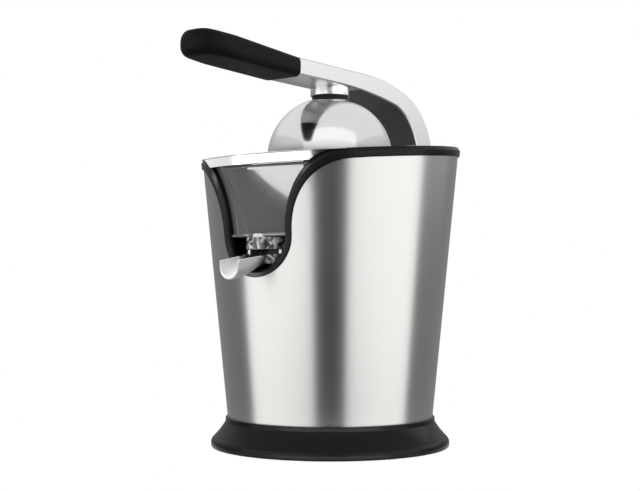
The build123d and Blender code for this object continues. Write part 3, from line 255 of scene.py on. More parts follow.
def smoothBetween(place, value, start, end, low=0.0, high=1.0):
    # smooth step of a value, from low at the start to high at the end
    return place.node("ShaderNodeMapRange", {"interpolation_type": "SMOOTHSTEP"},
                      {"Value": value, "From Min": start, "From Max": end, "To Min": low, "To Max": high})


# looks of the finishes: scales are waves per metre, gloss is the spread of roughness, depth is for the bump
noiseMiddle = 0.5  # noise swings about this
brushing = {"detail": 4.0, "cloudScale": 14.0, "cloudDetail": 2.0, "lineShare": 0.7, "cloudShare": 0.3,
            "lineGloss": 0.06, "cloudGloss": 0.04, "depth": (0.01, 0.0001), "anisotropy": 0.7, "rotation": 0.25}
polish = {"scale": 40.0, "stretch": (1, 1, 3), "gloss": 0.05}
casting = {"grainScale": 1800.0, "grainDetail": 2.0, "cloudScale": 22.0, "cloudShare": 0.6, "grainShare": 0.4,
           "gloss": 0.08, "depth": (0.05, 0.0001)}
moulding = {"grainDetail": 2.0, "cloudScale": 30.0, "cloudGloss": 0.10, "grainGloss": 0.05, "depth": 0.00015}
smoke = {"scale": 35.0, "stretch": (1, 1, 0.4), "roughness": 0.05, "gloss": 0.05, "alphaSpread": 0.06,
         "specular": 0.9, "coat": 1.0, "coatIndex": 1.7, "coatRoughness": 0.03}
# the stops cut bright painted glints out of the curled noise for the colour; the same noise also sets gloss,
# alpha and bump
swirling = {"scale": 150.0, "stretch": (1, 1, 0.8), "curl": 1.6, "stops": [(0.46, 0.0), (0.64, 1.0)],
            "roughness": 0.06, "gloss": 0.08, "alphaSpread": 0.5, "depth": (0.6, 0.0008)}
# clear runs from the cup's dark tint up to the colour of its painted glints
beak = {"satin": (0.90, 0.96), "clear": (0.08, 0.80), "roughness": 0.5, "cupRoughness": 0.12, "metallic": 0.5,
        "cupAlpha": 0.75}


def brushedSteel(name, dark, light, roughness, stretch=(12, 12, 2600)):
    # satin steel: fine lines round the body and slow clouds, both in colour and gloss; its reflections are
    # sharp along the lines and soft across them
    material, shader, place = newMaterial(name)
    lines = noise(place, 1.0, brushing["detail"], stretch)
    clouds = noise(place, brushing["cloudScale"], brushing["cloudDetail"])
    mixed = lines * brushing["lineShare"] + clouds * brushing["cloudShare"]
    gloss = (lines - noiseMiddle) * brushing["lineGloss"] + (clouds - noiseMiddle) * brushing["cloudGloss"]
    place.feed(shader, {
        "Base Color": tint(place, mixed, dark, light), "Roughness": roughness + gloss,
        "Normal": relief(place, lines, *brushing["depth"]), "Metallic": 1.0,
        "Anisotropic": brushing["anisotropy"], "Anisotropic Rotation": brushing["rotation"]})
    return material


def polishedMetal(name, dark, light, roughness):
    # mirror metal with faint wipe marks in its gloss
    material, shader, place = newMaterial(name)
    wipes = noise(place, polish["scale"], stretch=polish["stretch"])
    place.feed(shader, {"Base Color": tint(place, wipes, dark, light),
                        "Roughness": roughness + (wipes - noiseMiddle) * polish["gloss"], "Metallic": 1.0})
    return material


def castAlloy(name, dark, light, roughness):
    # satin cast metal: fine even grain under a slow cloud
    material, shader, place = newMaterial(name)
    grain = noise(place, casting["grainScale"], casting["grainDetail"])
    clouds = noise(place, casting["cloudScale"])
    mixed = clouds * casting["cloudShare"] + grain * casting["grainShare"]
    place.feed(shader, {
        "Base Color": tint(place, mixed, dark, light),
        "Roughness": roughness + (clouds - noiseMiddle) * casting["gloss"],
        "Normal": relief(place, grain, *casting["depth"]), "Metallic": 1.0})
    return material


def mouldedPlastic(name, dark, light, roughness, grainScale=1500.0, grainStrength=0.12, gleam=0.2):
    # moulded plastic: spark-eroded grain, faint flow clouds in colour and gloss
    material, shader, place = newMaterial(name)
    grain = noise(place, grainScale, moulding["grainDetail"])
    clouds = noise(place, moulding["cloudScale"])
    gloss = (clouds - noiseMiddle) * moulding["cloudGloss"] + (grain - noiseMiddle) * moulding["grainGloss"]
    place.feed(shader, {
        "Base Color": tint(place, clouds, dark, light), "Roughness": roughness + gloss,
        "Normal": relief(place, grain, grainStrength, moulding["depth"]), "Specular IOR Level": gleam})
    return material


def smokedPlastic(name, dark, light, alpha):
    # smoked clear plastic: even tint with faint moulding streaks
    material, shader, place = newMaterial(name)
    streaks = noise(place, smoke["scale"], stretch=smoke["stretch"])
    place.feed(shader, {
        "Base Color": tint(place, streaks, dark, light),
        "Roughness": smoke["roughness"] + streaks * smoke["gloss"],
        "Alpha": alpha + (streaks - noiseMiddle) * smoke["alphaSpread"],
        "Specular IOR Level": smoke["specular"], "Coat Weight": smoke["coat"], "Coat IOR": smoke["coatIndex"],
        "Coat Roughness": smoke["coatRoughness"]})
    return material


def swirlsAndPaintedGlints(place):
    # curled noise, and bright streaks cut from it as painted glints: highlights painted into the colour where
    # light would catch in thick moulded walls
    swirl = noise(place, swirling["scale"], stretch=swirling["stretch"], curl=swirling["curl"])
    return swirl, place.node("ShaderNodeValToRGB", {"stops": swirling["stops"]}, {"Fac": swirl})


def clearPlastic(name, dark, light, alpha):
    # clear plastic with painted glints: bright swirls painted into its colour as highlights
    material, shader, place = newMaterial(name)
    swirl, paintedGlints = swirlsAndPaintedGlints(place)
    # the base colour carries the painted glints, from the dark tint up to near white
    place.feed(shader, {
        "Base Color": tint(place, paintedGlints, dark, light),
        "Roughness": swirling["roughness"] + swirl * swirling["gloss"],
        "Alpha": alpha + (swirl - noiseMiddle) * swirling["alphaSpread"],
        "Normal": relief(place, swirl, *swirling["depth"])})
    return material


def spoutFinish(name, beakEnd, cupStart):
    # satin beak that passes into a clear cup between two places along Y; the cup's colour carries painted
    # glints
    material, shader, place = newMaterial(name)
    along = place.node("ShaderNodeSeparateXYZ", inputs={0: place}, out="Y")
    cup = smoothBetween(place, along, beakEnd, cupStart)
    clouds = noise(place, casting["cloudScale"])
    grain = noise(place, casting["grainScale"], casting["grainDetail"])
    swirl, paintedGlints = swirlsAndPaintedGlints(place)
    satin = tint(place, clouds, *map(grey, beak["satin"]))
    # painted glints: bright swirls lift the cup's clear colour towards white as highlights
    clear = tint(place, paintedGlints, *map(grey, beak["clear"]))
    gloss = (clouds - noiseMiddle) * casting["gloss"]
    place.feed(shader, {
        "Base Color": blend(place, cup, satin, clear),
        "Roughness": beak["roughness"] + gloss - cup * (beak["roughness"] - beak["cupRoughness"]),
        "Metallic": beak["metallic"] - cup * beak["metallic"], "Alpha": 1.0 - cup * (1.0 - beak["cupAlpha"]),
        "Normal": relief(place, grain, *casting["depth"])})
    return material


finishes = {
    "body_steel": brushedSteel("bodySteel", (0.585, 0.575, 0.56), (0.635, 0.625, 0.615), 0.30),
    "polished_steel": polishedMetal("polishedSteel", grey(0.82), grey(0.90), 0.06),
    "spout_metal": spoutFinish("spoutMetal", -0.100, -0.092),
    "arm_alloy": castAlloy("armAlloy", grey(0.68), grey(0.76), 0.36),
    "black_plastic": mouldedPlastic("blackPlastic", grey(0.005), grey(0.008), 0.28, gleam=0.16),
    "grip_black": mouldedPlastic("gripBlack", grey(0.004), grey(0.007), 0.50, 1100.0, 0.2, gleam=0.08),
    "smoke_clear": smokedPlastic("smokeClear", grey(0.17), grey(0.22), 0.88),
    "seal_rubber": mouldedPlastic("sealRubber", grey(0.010), grey(0.016), 0.62),
    "reamer_plastic": mouldedPlastic("reamerPlastic", grey(0.022), grey(0.032), 0.34),
    "gear_nylon": mouldedPlastic("gearNylon", (0.62, 0.59, 0.50), (0.70, 0.68, 0.60), 0.42),
    "plain_steel": castAlloy("plainSteel", grey(0.42), grey(0.52), 0.32),
    "bush_bronze": castAlloy("bushBronze", (0.42, 0.27, 0.11), (0.52, 0.35, 0.16), 0.38),
    "winding_copper": brushedSteel("windingCopper", (0.45, 0.17, 0.06), (0.62, 0.27, 0.11), 0.35, (3, 3, 2600)),
}
ownFinishes = {
    "strainer": polishedMetal("strainerSteel", grey(0.80), grey(0.88), 0.15),
    "base": mouldedPlastic("baseBlack", grey(0.005), grey(0.007), 0.24, gleam=0.09),
    "dome": polishedMetal("domeSteel", grey(0.86), grey(0.92), 0.14),
    "socket": polishedMetal("socketSteel", grey(0.80), grey(0.86), 0.26),
    # dark grey of the painted shade sheet on the arm's inner face
    "shadeSheet": mouldedPlastic("armShadeSheetGrey", grey(0.075), grey(0.095), 0.42),
    # the neck ring's colour holds painted glints, bright swirls up to near white
    "neck": clearPlastic("clearNeckPaintedGlints", grey(0.05), grey(0.90), 0.75),
    "sill": smokedPlastic("sillClear", grey(0.14), grey(0.24), 0.9),
}
for part in record["subparts"]:
    node = frame["nodes"][part["node"]]
    node.data.materials.clear()
    node.data.materials.append(finishes[part["material_slot"]])
frame["nodes"]["strainer_bowl"].data.materials[0] = ownFinishes["strainer"]
print("finishes on", len(record["subparts"]), "nodes")

# black trim: one moulding that runs along the tilted rim and swoops round the spout as a U
trim = {
    "archZ": 161.2, "inner": (26.0, 44.0, 60.0, 0.0), "outer": (31.0, 43.5, 52.6, 7.2), "steps": (36, 72, 110),
    "smoothing": 6, "band": 6.0, "proud": 1.3, "depth": -3.6, "crease": 0.36, "bevelDepth": -0.7,
    "slotTop": 0.06, "slotLow": -0.86, "rounds": (0.2, 0.3, 0.35, 0.8, 0.05, 0.02, 0.02, 0.02, 0.2),
}


def swoopEdge(half, reach, rise, drop):
    # half a U of arcs, then a quarter ellipse, then the rim to the back; mirrored into a closed loop
    archSteps, flareSteps, rearSteps = trim["steps"]
    low = np.linspace(0, math.pi / 2, archSteps)
    flare = np.linspace(0, math.pi / 2, flareSteps)[1:]
    x = np.concatenate([half * np.sin(low), half + reach * (1 - np.cos(flare))])
    z = np.concatenate([trim["archZ"] - half * np.cos(low), trim["archZ"] + rise * np.sin(flare)])
    theta = np.arcsin(x / coneRadius(z))
    z = np.minimum(z, rimHeight(theta, drop))
    rear = np.linspace(theta[-1], math.pi, rearSteps)[1:]
    theta = np.concatenate([theta, rear])
    z = np.concatenate([z, rimHeight(rear, drop)])
    theta = np.concatenate([theta, 2 * math.pi - theta[-2:0:-1]])
    z = np.concatenate([z, z[-2:0:-1]])
    east, south = np.sin(theta), np.cos(theta)
    for lap in range(trim["smoothing"]):
        east, south, z = [(np.roll(a, 1) + 2 * a + np.roll(a, -1)) / 4 for a in (east, south, z)]
    return np.arctan2(east, south), z


def trimStrip():
    # section of share across the band and offset, carried along both edges at once; the band's true width
    # keeps its corners round
    innerTheta, innerZ = swoopEdge(*trim["inner"])
    outerTheta, outerZ = swoopEdge(*trim["outer"])
    turn = (outerTheta - innerTheta + math.pi) % (2 * math.pi) - math.pi
    band, proud, depth = trim["band"], trim["proud"], trim["depth"]
    slotTop, slotLow = trim["slotTop"], trim["slotLow"]
    section = roundCorners(
        [(0, depth), (0, trim["bevelDepth"]), (trim["crease"] * band, proud), (band, proud), (band, slotTop),
         (band / 2, slotTop), (band / 2, slotLow), (band, slotLow), (band, depth)], trim["rounds"], steps=5)
    share, offset = section[None, :, 0] / band, section[None, :, 1]
    theta = innerTheta[:, None] + turn[:, None] * share
    z = innerZ[:, None] + (outerZ - innerZ)[:, None] * share
    return onCone(theta, z, offset + 0 * theta)


dress(putMesh("rimTrim", trimStrip(), True, True, sharp=40.0), "housing", "black_plastic", "rim_trim")
print("rim trim done")

# black base: collar, hollow flare and rounded lip
base = {"foot": 92.0, "lipTop": 7.0, "lipLow": 1.5, "collar": 80.7, "flareTop": 20.6, "top": 24.0,
        "ledge": 84.3, "ledgeZ": 5.5, "bore": 75.1, "hollow": 0.5, "flareSteps": 14,
        "lipRounds": (0.0, 6.0, 1.3, 0.3), "collarRounds": (0.0, 1.6, 0.5, 0.3)}


def baseOutline():
    # flare is a parabola that dips below the straight line from lip to collar
    t = np.linspace(0, 1, base["flareSteps"])[:, None]
    lip, collar = np.array([base["foot"], base["lipTop"]]), np.array([base["collar"], base["flareTop"]])
    flare = lip + (collar - lip) * t - 4 * base["hollow"] * t * (1 - t)
    lipRound = middleArcs([flare[2], lip, (base["foot"], base["lipLow"]), (base["ledge"], base["lipLow"])],
                          base["lipRounds"], steps=8)
    collarRound = middleArcs([flare[-3], collar, (base["collar"], base["top"]), (base["bore"], base["top"])],
                             base["collarRounds"], steps=6)
    inside = np.array([[base["bore"], base["top"]], [base["bore"], base["ledgeZ"]],
                       [base["ledge"], base["ledgeZ"]], [base["ledge"], base["lipLow"]]])
    return np.concatenate([lipRound[::-1], flare[2:-2], collarRound, inside])


dress(turned("baseRing", baseOutline(), segments=200), "housing", "black_plastic", "base_ring",
      finish=ownFinishes["base"])
print("base done")

# polished dome with a rolled lip, and its socket under the arm
dome = {"radius": 48.8, "height": 47.4, "middleZ": 224.2, "lowZ": 215.0, "sheet": 1.2, "hole": 2.6,
        "innerHole": 2.34, "bead": 0.95, "steps": 90, "roll": (math.radians(60), math.radians(-180), 18)}
socket = {"radius": 15.3, "lowZ": 272.2, "topZ": 279.4, "recess": 14.3, "recessZ": 274.2, "bore": 9.55,
          "chamber": 12.2, "chamberZ": 275.9, "rounds": (0.1, 0.5, 0.3, 0.1, 0.2, 0.2, 0.1, 0.1)}


def domeArc(angle, inset):
    # ellipse of the dome's side, drawn in by an inset
    return np.stack([(dome["radius"] - inset) * np.cos(angle),
                     dome["middleZ"] + (dome["height"] - inset) * np.sin(angle)], 1)


def domeOutline():
    # ellipse over a short skirt, a bead rolled outwards at the lip, and the sheet's inner face
    angle = np.linspace(math.pi / 2, 0, dome["steps"])
    angle = angle[angle < math.acos(dome["hole"] / dome["radius"])]
    inner = domeArc(angle, dome["sheet"])
    inner = inner[inner[:, 0] >= dome["innerHole"]]
    roll = np.linspace(*dome["roll"])
    bead = np.stack([dome["radius"] - dome["sheet"] / 2 + dome["bead"] * np.cos(roll),
                     dome["lowZ"] + dome["bead"] * (1 + np.sin(roll))], 1)
    return np.concatenate([domeArc(angle, 0.0), bead, inner[::-1]])


def socketOutline():
    # stepped section: outer wall, recess for the seal, bore and the chamber above it
    radius, recess, bore, chamber = [socket[key] for key in ("radius", "recess", "bore", "chamber")]
    lowZ, recessZ, chamberZ, topZ = [socket[key] for key in ("lowZ", "recessZ", "chamberZ", "topZ")]
    return roundCorners(
        [(radius, topZ), (radius, lowZ), (recess, lowZ), (recess, recessZ), (bore, recessZ), (bore, chamberZ),
         (chamber, chamberZ), (chamber, topZ)], socket["rounds"], steps=5)


dress(turned("pressDome", domeOutline(), segments=220, sharp=50.0), "dome", "polished_steel", "press_dome",
      finish=ownFinishes["dome"])
dress(turned("domeSocket", socketOutline(), segments=120), "lever", "polished_steel", "dome_socket",
      finish=ownFinishes["socket"])
print("dome and socket done")

# soft black grip: rounded section, round end in plan, slight crown
grip = {"start": -60.0, "end": -160.5, "half": 17.7, "lowStart": 278.0, "lowEnd": 280.6, "topStart": 292.7,
        "topEnd": 298.9, "corner": 17.0, "edge": 4.6, "endEdge": 7.6, "edgeLimit": 0.98, "swell": (34.0, 22.0),
        "nose": 8.0, "noseDrop": 4.5, "noseDraw": 0.15, "steps": (60, 16)}


def quarterInset(depth, left):
    # how far a quarter circle of this depth draws in, at a distance left to its end
    return depth - np.sqrt(np.maximum(depth ** 2 - np.maximum(depth - left, 0) ** 2, 0))


def gripGrid():
    # stations along the grip; near the nose the section draws in along a quarter ellipse
    length = grip["start"] - grip["end"]
    straight = length - grip["nose"]
    nose = np.sin(np.linspace(0, math.pi / 2, grip["steps"][1])) * grip["nose"]
    run = np.concatenate([np.linspace(0, straight, grip["steps"][0]), straight + nose[1:]])
    left = length - run  # distance to the tip
    inset = quarterInset(grip["nose"], left) * grip["noseDrop"] / grip["nose"]
    share = run / length
    half = grip["half"] - quarterInset(grip["corner"], left) - grip["noseDraw"] * inset
    low = grip["lowStart"] + (grip["lowEnd"] - grip["lowStart"]) * share + inset
    high = grip["topStart"] + (grip["topEnd"] - grip["topStart"]) * share - inset
    swell = np.clip((grip["swell"][0] - left) / grip["swell"][1], 0, 1)  # edges grow rounder towards the end
    edge = grip["edge"] + (grip["endEdge"] - grip["edge"]) * eased(swell)
    edge = np.minimum(edge, np.minimum(half, (high - low) / 2) * grip["edgeLimit"])
    x, z = roundBand(half, low, high, edge)
    return np.stack([x, grip["start"] - run[:, None] + 0 * x, z], -1)


dress(putMesh("leverGrip", gripGrid(), False, True, caps=(0, -1), sharp=50.0), "lever", "grip_black",
      "lever_grip")
print("grip done")

# fine bead along the rim of the pouring beak
spout = {"pivotY": -76.0126, "pivotZ": 147.0, "reach": 42.5, "half": 13.0, "tipHalf": 9.0, "floorDrop": 6.2,
         "tipDrop": 18.7, "wall": 1.3, "cup": 18.4, "backZ": 151.0, "rimFall": 9.2, "start": 20.0, "bead": 0.42,
         "steps": 40, "sideSteps": 8, "smoothing": 3}


def spoutStation(run):
    # floor and half width ease from the cup to the tip, the rim falls in a straight line
    ease = eased(np.clip(run / spout["reach"], 0, 1))
    floor = spout["pivotZ"] - spout["floorDrop"] - (spout["tipDrop"] - spout["floorDrop"]) * ease
    half = spout["half"] + (spout["tipHalf"] - spout["half"]) * ease - spout["wall"] / 2
    rim = spout["backZ"] - spout["rimFall"] * (run + spout["cup"]) / (spout["reach"] + spout["cup"])
    return floor + half + spout["wall"] / 2, half, rim


def lipPath():
    # rim of one side, then the U of the open tip, then the other side
    run = np.linspace(spout["start"], spout["reach"], spout["steps"])
    middle, half, rim = spoutStation(run)
    wide = np.sqrt(half ** 2 - np.maximum(middle - rim, 0) ** 2)
    edge = np.stack([-wide, spout["pivotY"] - run, rim], 1)
    middle, half, rim = middle[-1], half[-1], rim[-1]
    tipY = spout["pivotY"] - spout["reach"]
    swing = np.linspace(math.pi, 2 * math.pi, spout["steps"])
    bend = np.stack([half * np.cos(swing), tipY + 0 * swing, middle + half * np.sin(swing)], 1)
    drop = np.linspace(rim, middle, spout["sideSteps"])[1:-1]
    left = np.stack([0 * drop - half, 0 * drop + tipY, drop], 1)
    mirror = np.array([-1, 1, 1])
    path = np.concatenate([edge, left, bend, left[::-1] * mirror, edge[::-1] * mirror])
    side = np.stack([path[:, 0], 0 * path[:, 0], np.minimum(path[:, 2] - middle, 0)], 1)
    side[:len(edge), 2] = side[-len(edge):, 2] = 0
    for lap in range(spout["smoothing"]):
        path[1:-1] = (path[:-2] + 2 * path[1:-1] + path[2:]) / 4
    return path, side


dress(putMesh("spoutLip", tube(*lipPath(), spout["bead"]), False, True, caps=(0, -1)), "spout", "spout_metal")
print("spout lip done")

# rolled edge along the top of the strainer's front lip
lipRoll = {"span": math.radians(43.0), "drop": 0.5, "offset": 0.75, "radius": 0.55, "steps": 120}


def lipRollPath():
    # arc of the tilted rim across the front, with the outward direction beside it
    theta = np.linspace(-lipRoll["span"], lipRoll["span"], lipRoll["steps"])
    path = onCone(theta, rimHeight(theta, lipRoll["drop"]), lipRoll["offset"])
    return path, path * np.array([1, 1, 0])


dress(putMesh("lipEdge", tube(*lipRollPath(), lipRoll["radius"]), False, True, caps=(0, -1)),
      "housing", "polished_steel")
print("lip roll done")

# dark grey sheet on the inner face of the arm, from the boss down to the hinge, put there as painted shade
# where that face lies in shade
shadeSheet = {"half": 16.0, "sunk": -0.3, "proud": 0.35, "edge": 0.3, "startY": 18.0, "bendY": -10.0,
         "underZ": 279.4, "radius": 440.0, "turn": math.radians(10.0), "endY": 103.2369, "endZ": 221.5,
         "fullness": 0.56, "stop": 0.72, "steps": (30, 50)}


def armArc(angle):
    # place along the shallow arc of the arm's inner face, as Y and Z
    return np.stack([shadeSheet["bendY"] + shadeSheet["radius"] * np.sin(angle),
                     shadeSheet["underZ"] - shadeSheet["radius"] * (1 - np.cos(angle))], -1)


def armInside():
    # shallow arc of the arm's inner face, then a cubic curve that turns straight down
    first = math.asin((shadeSheet["startY"] - shadeSheet["bendY"]) / shadeSheet["radius"])
    arc = armArc(np.linspace(first, shadeSheet["turn"], shadeSheet["steps"][0])[:-1])
    start, end = armArc(shadeSheet["turn"]), np.array([shadeSheet["endY"], shadeSheet["endZ"]])
    reach = (end[0] - start[0]) * shadeSheet["fullness"]
    along = start + np.array([reach, -reach * math.tan(shadeSheet["turn"])])
    above = end + np.array([0, (start[1] - end[1]) * shadeSheet["fullness"]])
    t = np.linspace(0, shadeSheet["stop"], shadeSheet["steps"][1])[:, None]
    curve = start * (1 - t) ** 3 + 3 * along * t * (1 - t) ** 2 + 3 * above * t ** 2 * (1 - t) + end * t ** 3
    return np.concatenate([arc, curve])


def shadeSheetGrid():
    # rounded strip of painted shade carried along the inner face
    path = armInside()
    along = unit(np.gradient(path, axis=0))
    one = np.ones(len(path))
    x, lift = roundBand(*[shadeSheet[key] * one for key in ("half", "sunk", "proud", "edge")], steps=5)
    return np.stack([x, path[:, :1] + along[:, 1:] * lift, path[:, 1:] - along[:, :1] * lift], -1)


# the sheet is painted shade laid on the arm, not a part of the press
dress(putMesh("armLiner", shadeSheetGrid(), False, True, caps=(0, -1), sharp=50.0), "lever", "black_plastic",
      finish=ownFinishes["shadeSheet"])
print("arm liner done")

# window details on the smoked collector: raised middle panel, sill, and the clear neck ring
window = {"lowZ": 161.9, "lowHalf": 10.0, "flare": 24.0, "flareRise": 51.0, "flarePower": 1.3, "topDrop": 7.6,
          "wall": -4.4, "proud": 0.45, "backing": 0.1, "step": 2.2, "cover": 18.0, "grid": (61, 81)}
sill = {"lowZ": 159.9, "topZ": 161.5, "inner": -4.5, "outer": -2.3, "half": math.radians(16.6), "edge": 0.5,
        "innerEdge": 0.1, "steps": 60}
neck = {"y": -76.0126, "lowZ": 150.6, "topZ": 159.2, "radius": 15.92, "inner": 15.5, "foot": 15.78,
        "footZ": 152.2, "flutes": 26, "flute": 0.06, "rounds": (0.05, 0.05, 0.8, 0.3, 0.2), "steps": 312}


def panelGrid():
    # raised field on the cone: full height inside, eased to the wall over the step at its edge; the right
    # side runs on under the trim
    rise = np.linspace(0, 1, window["grid"][0])[:, None]
    share = np.linspace(-1, 1, window["grid"][1])[None, :]
    top = window["lowZ"] + window["flareRise"]
    z = window["lowZ"] + window["flareRise"] * rise
    half = window["lowHalf"] + window["flare"] * rise ** window["flarePower"] + window["cover"] * (share > 0)
    theta = np.arcsin(half / coneRadius(z, window["wall"])) * share
    z = window["lowZ"] + (np.minimum(rimHeight(theta, window["topDrop"]), top) - window["lowZ"]) * rise
    edge = np.minimum((1 - np.abs(share)) * half, np.minimum(rise, 1 - rise) * window["flareRise"])
    lift = eased(np.clip(edge / window["step"], 0, 1)) * window["proud"]
    front = onCone(theta, z, window["wall"] + lift)
    back = onCone(theta, z, window["wall"] - window["backing"] + 0 * lift)
    return np.concatenate([front, back[:, ::-1]], 1)


def sillGrid():
    # rounded bar carried round the foot of the window
    inner, outer, lowZ, topZ = sill["inner"], sill["outer"], sill["lowZ"], sill["topZ"]
    section = roundCorners([(inner, lowZ), (outer, lowZ), (outer, topZ), (inner, topZ)],
                           [sill["innerEdge"], sill["edge"], sill["edge"], sill["innerEdge"]], steps=5)
    theta = np.linspace(-sill["half"], sill["half"], sill["steps"])[:, None]
    return onCone(theta, section[None, :, 1] + 0 * theta, section[None, :, 0])


def neckGrid():
    # ring whose outer face waves with shallow flutes
    angle = np.linspace(0, 2 * math.pi, neck["steps"], endpoint=False)[:, None]
    section = roundCorners([(neck["inner"], neck["lowZ"]), (neck["foot"], neck["lowZ"]),
                            (neck["radius"], neck["footZ"]), (neck["radius"], neck["topZ"]),
                            (neck["inner"], neck["topZ"])], neck["rounds"], steps=4)
    radius, height = section[None, :, 0], section[None, :, 1] + 0 * angle
    outer = (radius - neck["inner"]) / (neck["radius"] - neck["inner"])
    radius = radius + neck["flute"] * outer * np.cos(neck["flutes"] * angle)
    return np.stack([radius * np.sin(angle), neck["y"] - radius * np.cos(angle), height], -1)


dress(putMesh("windowPanel", panelGrid(), False, True), "housing", "smoke_clear")
dress(putMesh("windowSill", sillGrid(), False, True, caps=(0, -1)), "housing", "smoke_clear",
      finish=ownFinishes["sill"])
dress(putMesh("neckRing", neckGrid(), True, True), "housing", "smoke_clear", finish=ownFinishes["neck"])
print("window done")

# camera as fitted to the photo; each light's turn is its angle round from the camera, in degrees, and its
# radiance is how bright it shows in a mirror
view = {"azimuth": math.radians(36.4), "distance": 0.9202, "height": 0.1223, "pitch": math.radians(2.083),
        "yaw": math.radians(0.485), "focalPixels": 1181.3, "imageWidth": 640, "sensor": 36.0, "nearest": 0.01}
lights = {
    "left": {"turn": -53.0, "distance": 1.3, "height": 0.2, "size": (1.96, 1.52), "radiance": 1.48},
    "right": {"turn": 52.0, "distance": 1.3, "height": 0.2, "size": (1.89, 1.52), "radiance": 1.48},
    "rim": {"turn": 108.0, "distance": 1.3, "height": 0.60, "size": (1.0, 0.5), "radiance": 0.95},
    "window": {"turn": -51.4, "distance": 1.3, "height": 0.23, "size": (1.4, 0.3), "radiance": 5.0,
               "roll": -6.2},
    "fill": {"turn": 0.0, "distance": 2.2, "height": 0.9, "size": (5.0, 3.4), "radiance": 0.26},
    "side": {"turn": -112.0, "distance": 1.6, "height": 0.4, "size": (2.4, 2.0), "radiance": 0.7},
    "pour": {"turn": -30.0, "distance": 0.8, "height": 1.2, "size": (0.9, 0.9), "radiance": 6.8},
    "crown": {"turn": 0.0, "distance": 0.01, "height": 1.4, "size": (4.4, 4.4), "radiance": 0.16},
    "edge": {"turn": -76.0, "distance": 1.3, "height": 0.2, "size": (0.4, 2.4), "radiance": 9.0},
    "foot": {"turn": 0.0, "distance": 1.3, "height": -0.14, "size": (3.6, 0.44), "radiance": 5.2},
}
highestAim = 0.2  # m: no light aims above this
glazing = ("juice_collector", "windowPanel")
litOnly = {"window": glazing, "fill": ("pressDome", "domeSocket", "pour_spout"),
           "side": ("strainer_bowl", "pour_spout"), "crown": ("pressDome",), "pour": ("pour_spout", "spoutLip"),
           "edge": ("rimTrim",), "foot": ("baseRing",)}
spared = glazing + ("pressDome", "lipEdge", "spoutLip", "pour_spout")  # the other lights fall on all but these
surround = {"low": 0.145, "towardCamera": 0.135, "overhead": 0.62, "lift": (0.05, 0.40)}
floor = {"half": 600.0, "z": -0.2, "tone": (0.90, 0.93), "toneScale": 3.0, "roughness": 0.6, "gloss": 0.1,
         "glossScale": 60.0, "fade": (0.094, 0.14), "alpha": 0.6, "glow": 0.9}
toCamera = Vector((math.sin(view["azimuth"]), -math.cos(view["azimuth"]), 0))


def addCamera():
    # the level line to the machine's axis, turned by the yaw and lifted by the pitch
    right = Vector((math.cos(view["azimuth"]), math.sin(view["azimuth"]), 0))
    level = -toCamera * math.cos(view["yaw"]) - right * math.sin(view["yaw"])
    aim = level * math.cos(view["pitch"]) + Vector((0, 0, math.sin(view["pitch"])))
    data = bpy.data.cameras.new("photoCamera")
    data.sensor_width = view["sensor"]
    data.sensor_fit = "HORIZONTAL"
    data.lens = view["focalPixels"] / view["imageWidth"] * view["sensor"]
    data.clip_start = view["nearest"]
    camera = bpy.data.objects.new("photoCamera", data)
    camera.location = toCamera * view["distance"] + Vector((0, 0, view["height"]))
    camera.rotation_euler = aim.to_track_quat("-Z", "Y").to_euler()
    bpy.context.scene.collection.objects.link(camera)
    bpy.context.scene.camera = camera


def addSoftbox(name, turn, distance, height, size, radiance, roll=0.0):
    # rectangle that faces the press; its power is radiance times pi times its area
    azimuth = view["azimuth"] + math.radians(turn)
    data = bpy.data.lights.new(name, "AREA")
    data.shape = "RECTANGLE"
    data.size, data.size_y = size
    data.energy = radiance * math.pi * size[0] * size[1]
    lamp = bpy.data.objects.new(name, data)
    lamp.location = (distance * math.sin(azimuth), -distance * math.cos(azimuth), height)
    aim = Vector((0, 0, min(height, highestAim))) - lamp.location
    lamp.rotation_euler = aim.to_track_quat("-Z", "Y").to_euler()
    lamp.rotation_euler.rotate_axis("Z", math.radians(roll))
    lamp.visible_camera = False
    lamp.light_linking.receiver_collection = lightGroup(name)
    bpy.context.scene.collection.objects.link(lamp)


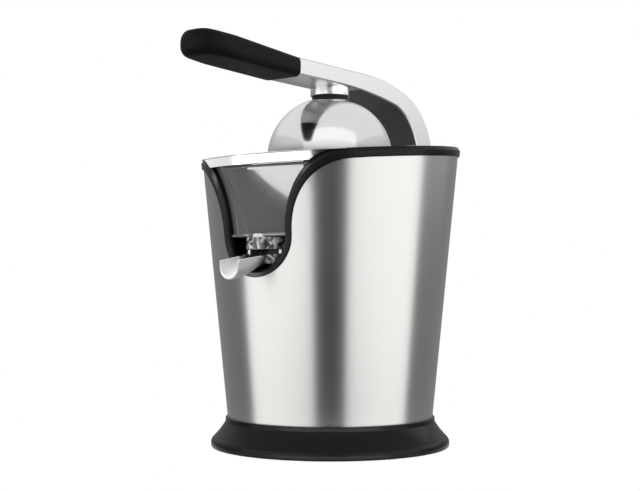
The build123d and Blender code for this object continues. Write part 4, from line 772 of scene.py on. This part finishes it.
def lightGroup(name):
    # the pieces that a light falls on: a chosen few, or all but the spared ones
    group = bpy.data.collections.new(name + "Group")
    for pieceName in litOnly.get(name, spared):
        group.objects.link(bpy.data.objects[pieceName])
    if name not in litOnly:
        for member in group.collection_objects:
            member.light_linking.link_state = "EXCLUDE"
    return group


def addSurround():
    # white to the eye; for reflections grey near the ground, darker towards the camera, and light overhead
    world = bpy.data.worlds.new("studio")
    bpy.context.scene.world = world
    world.use_nodes = True
    wire = Wire(world.node_tree)
    direction = wire.node("ShaderNodeTexCoord", out="Generated")
    toward = wire.node("ShaderNodeVectorMath", {"operation": "DOT_PRODUCT"}, {0: direction, 1: tuple(toCamera)},
                       out="Value")
    height = wire.node("ShaderNodeSeparateXYZ", inputs={0: direction}, out="Z")
    low = surround["low"] - toward * surround["towardCamera"]
    sky = low + smoothBetween(wire, height, *surround["lift"]) * (surround["overhead"] - low)
    seen = wire.node("ShaderNodeLightPath", out="Is Camera Ray")
    wire.feed(world.node_tree.nodes["Background"],
              {"Color": (1, 1, 1, 1), "Strength": sky + seen * (1.0 - sky)})


def addFloor():
    # pale sheet that glows as a lit white table does, and fades out round the base
    side = np.array([-floor["half"], floor["half"]])
    x, y = np.meshgrid(side, side)
    sheet = putMesh("floor", np.stack([x, y, 0 * x + floor["z"]], -1))
    material, shader, place = newMaterial("floorSheet")
    distance = place.node("ShaderNodeVectorMath", {"operation": "LENGTH"}, {0: place}, out="Value")
    place.feed(shader, {
        "Base Color": tint(place, noise(place, floor["toneScale"]), *map(grey, floor["tone"])),
        "Roughness": floor["roughness"] + noise(place, floor["glossScale"]) * floor["gloss"],
        "Alpha": smoothBetween(place, distance, *floor["fade"], floor["alpha"], 0.0),
        "Emission Color": (1, 1, 1, 1), "Emission Strength": floor["glow"]})
    sheet.data.materials.append(material)


addCamera()
for name, settings in lights.items():
    addSoftbox(name, **settings)
addSurround()
addFloor()
bpy.context.scene.view_settings.view_transform = "Standard"
print("camera, lights and floor done")
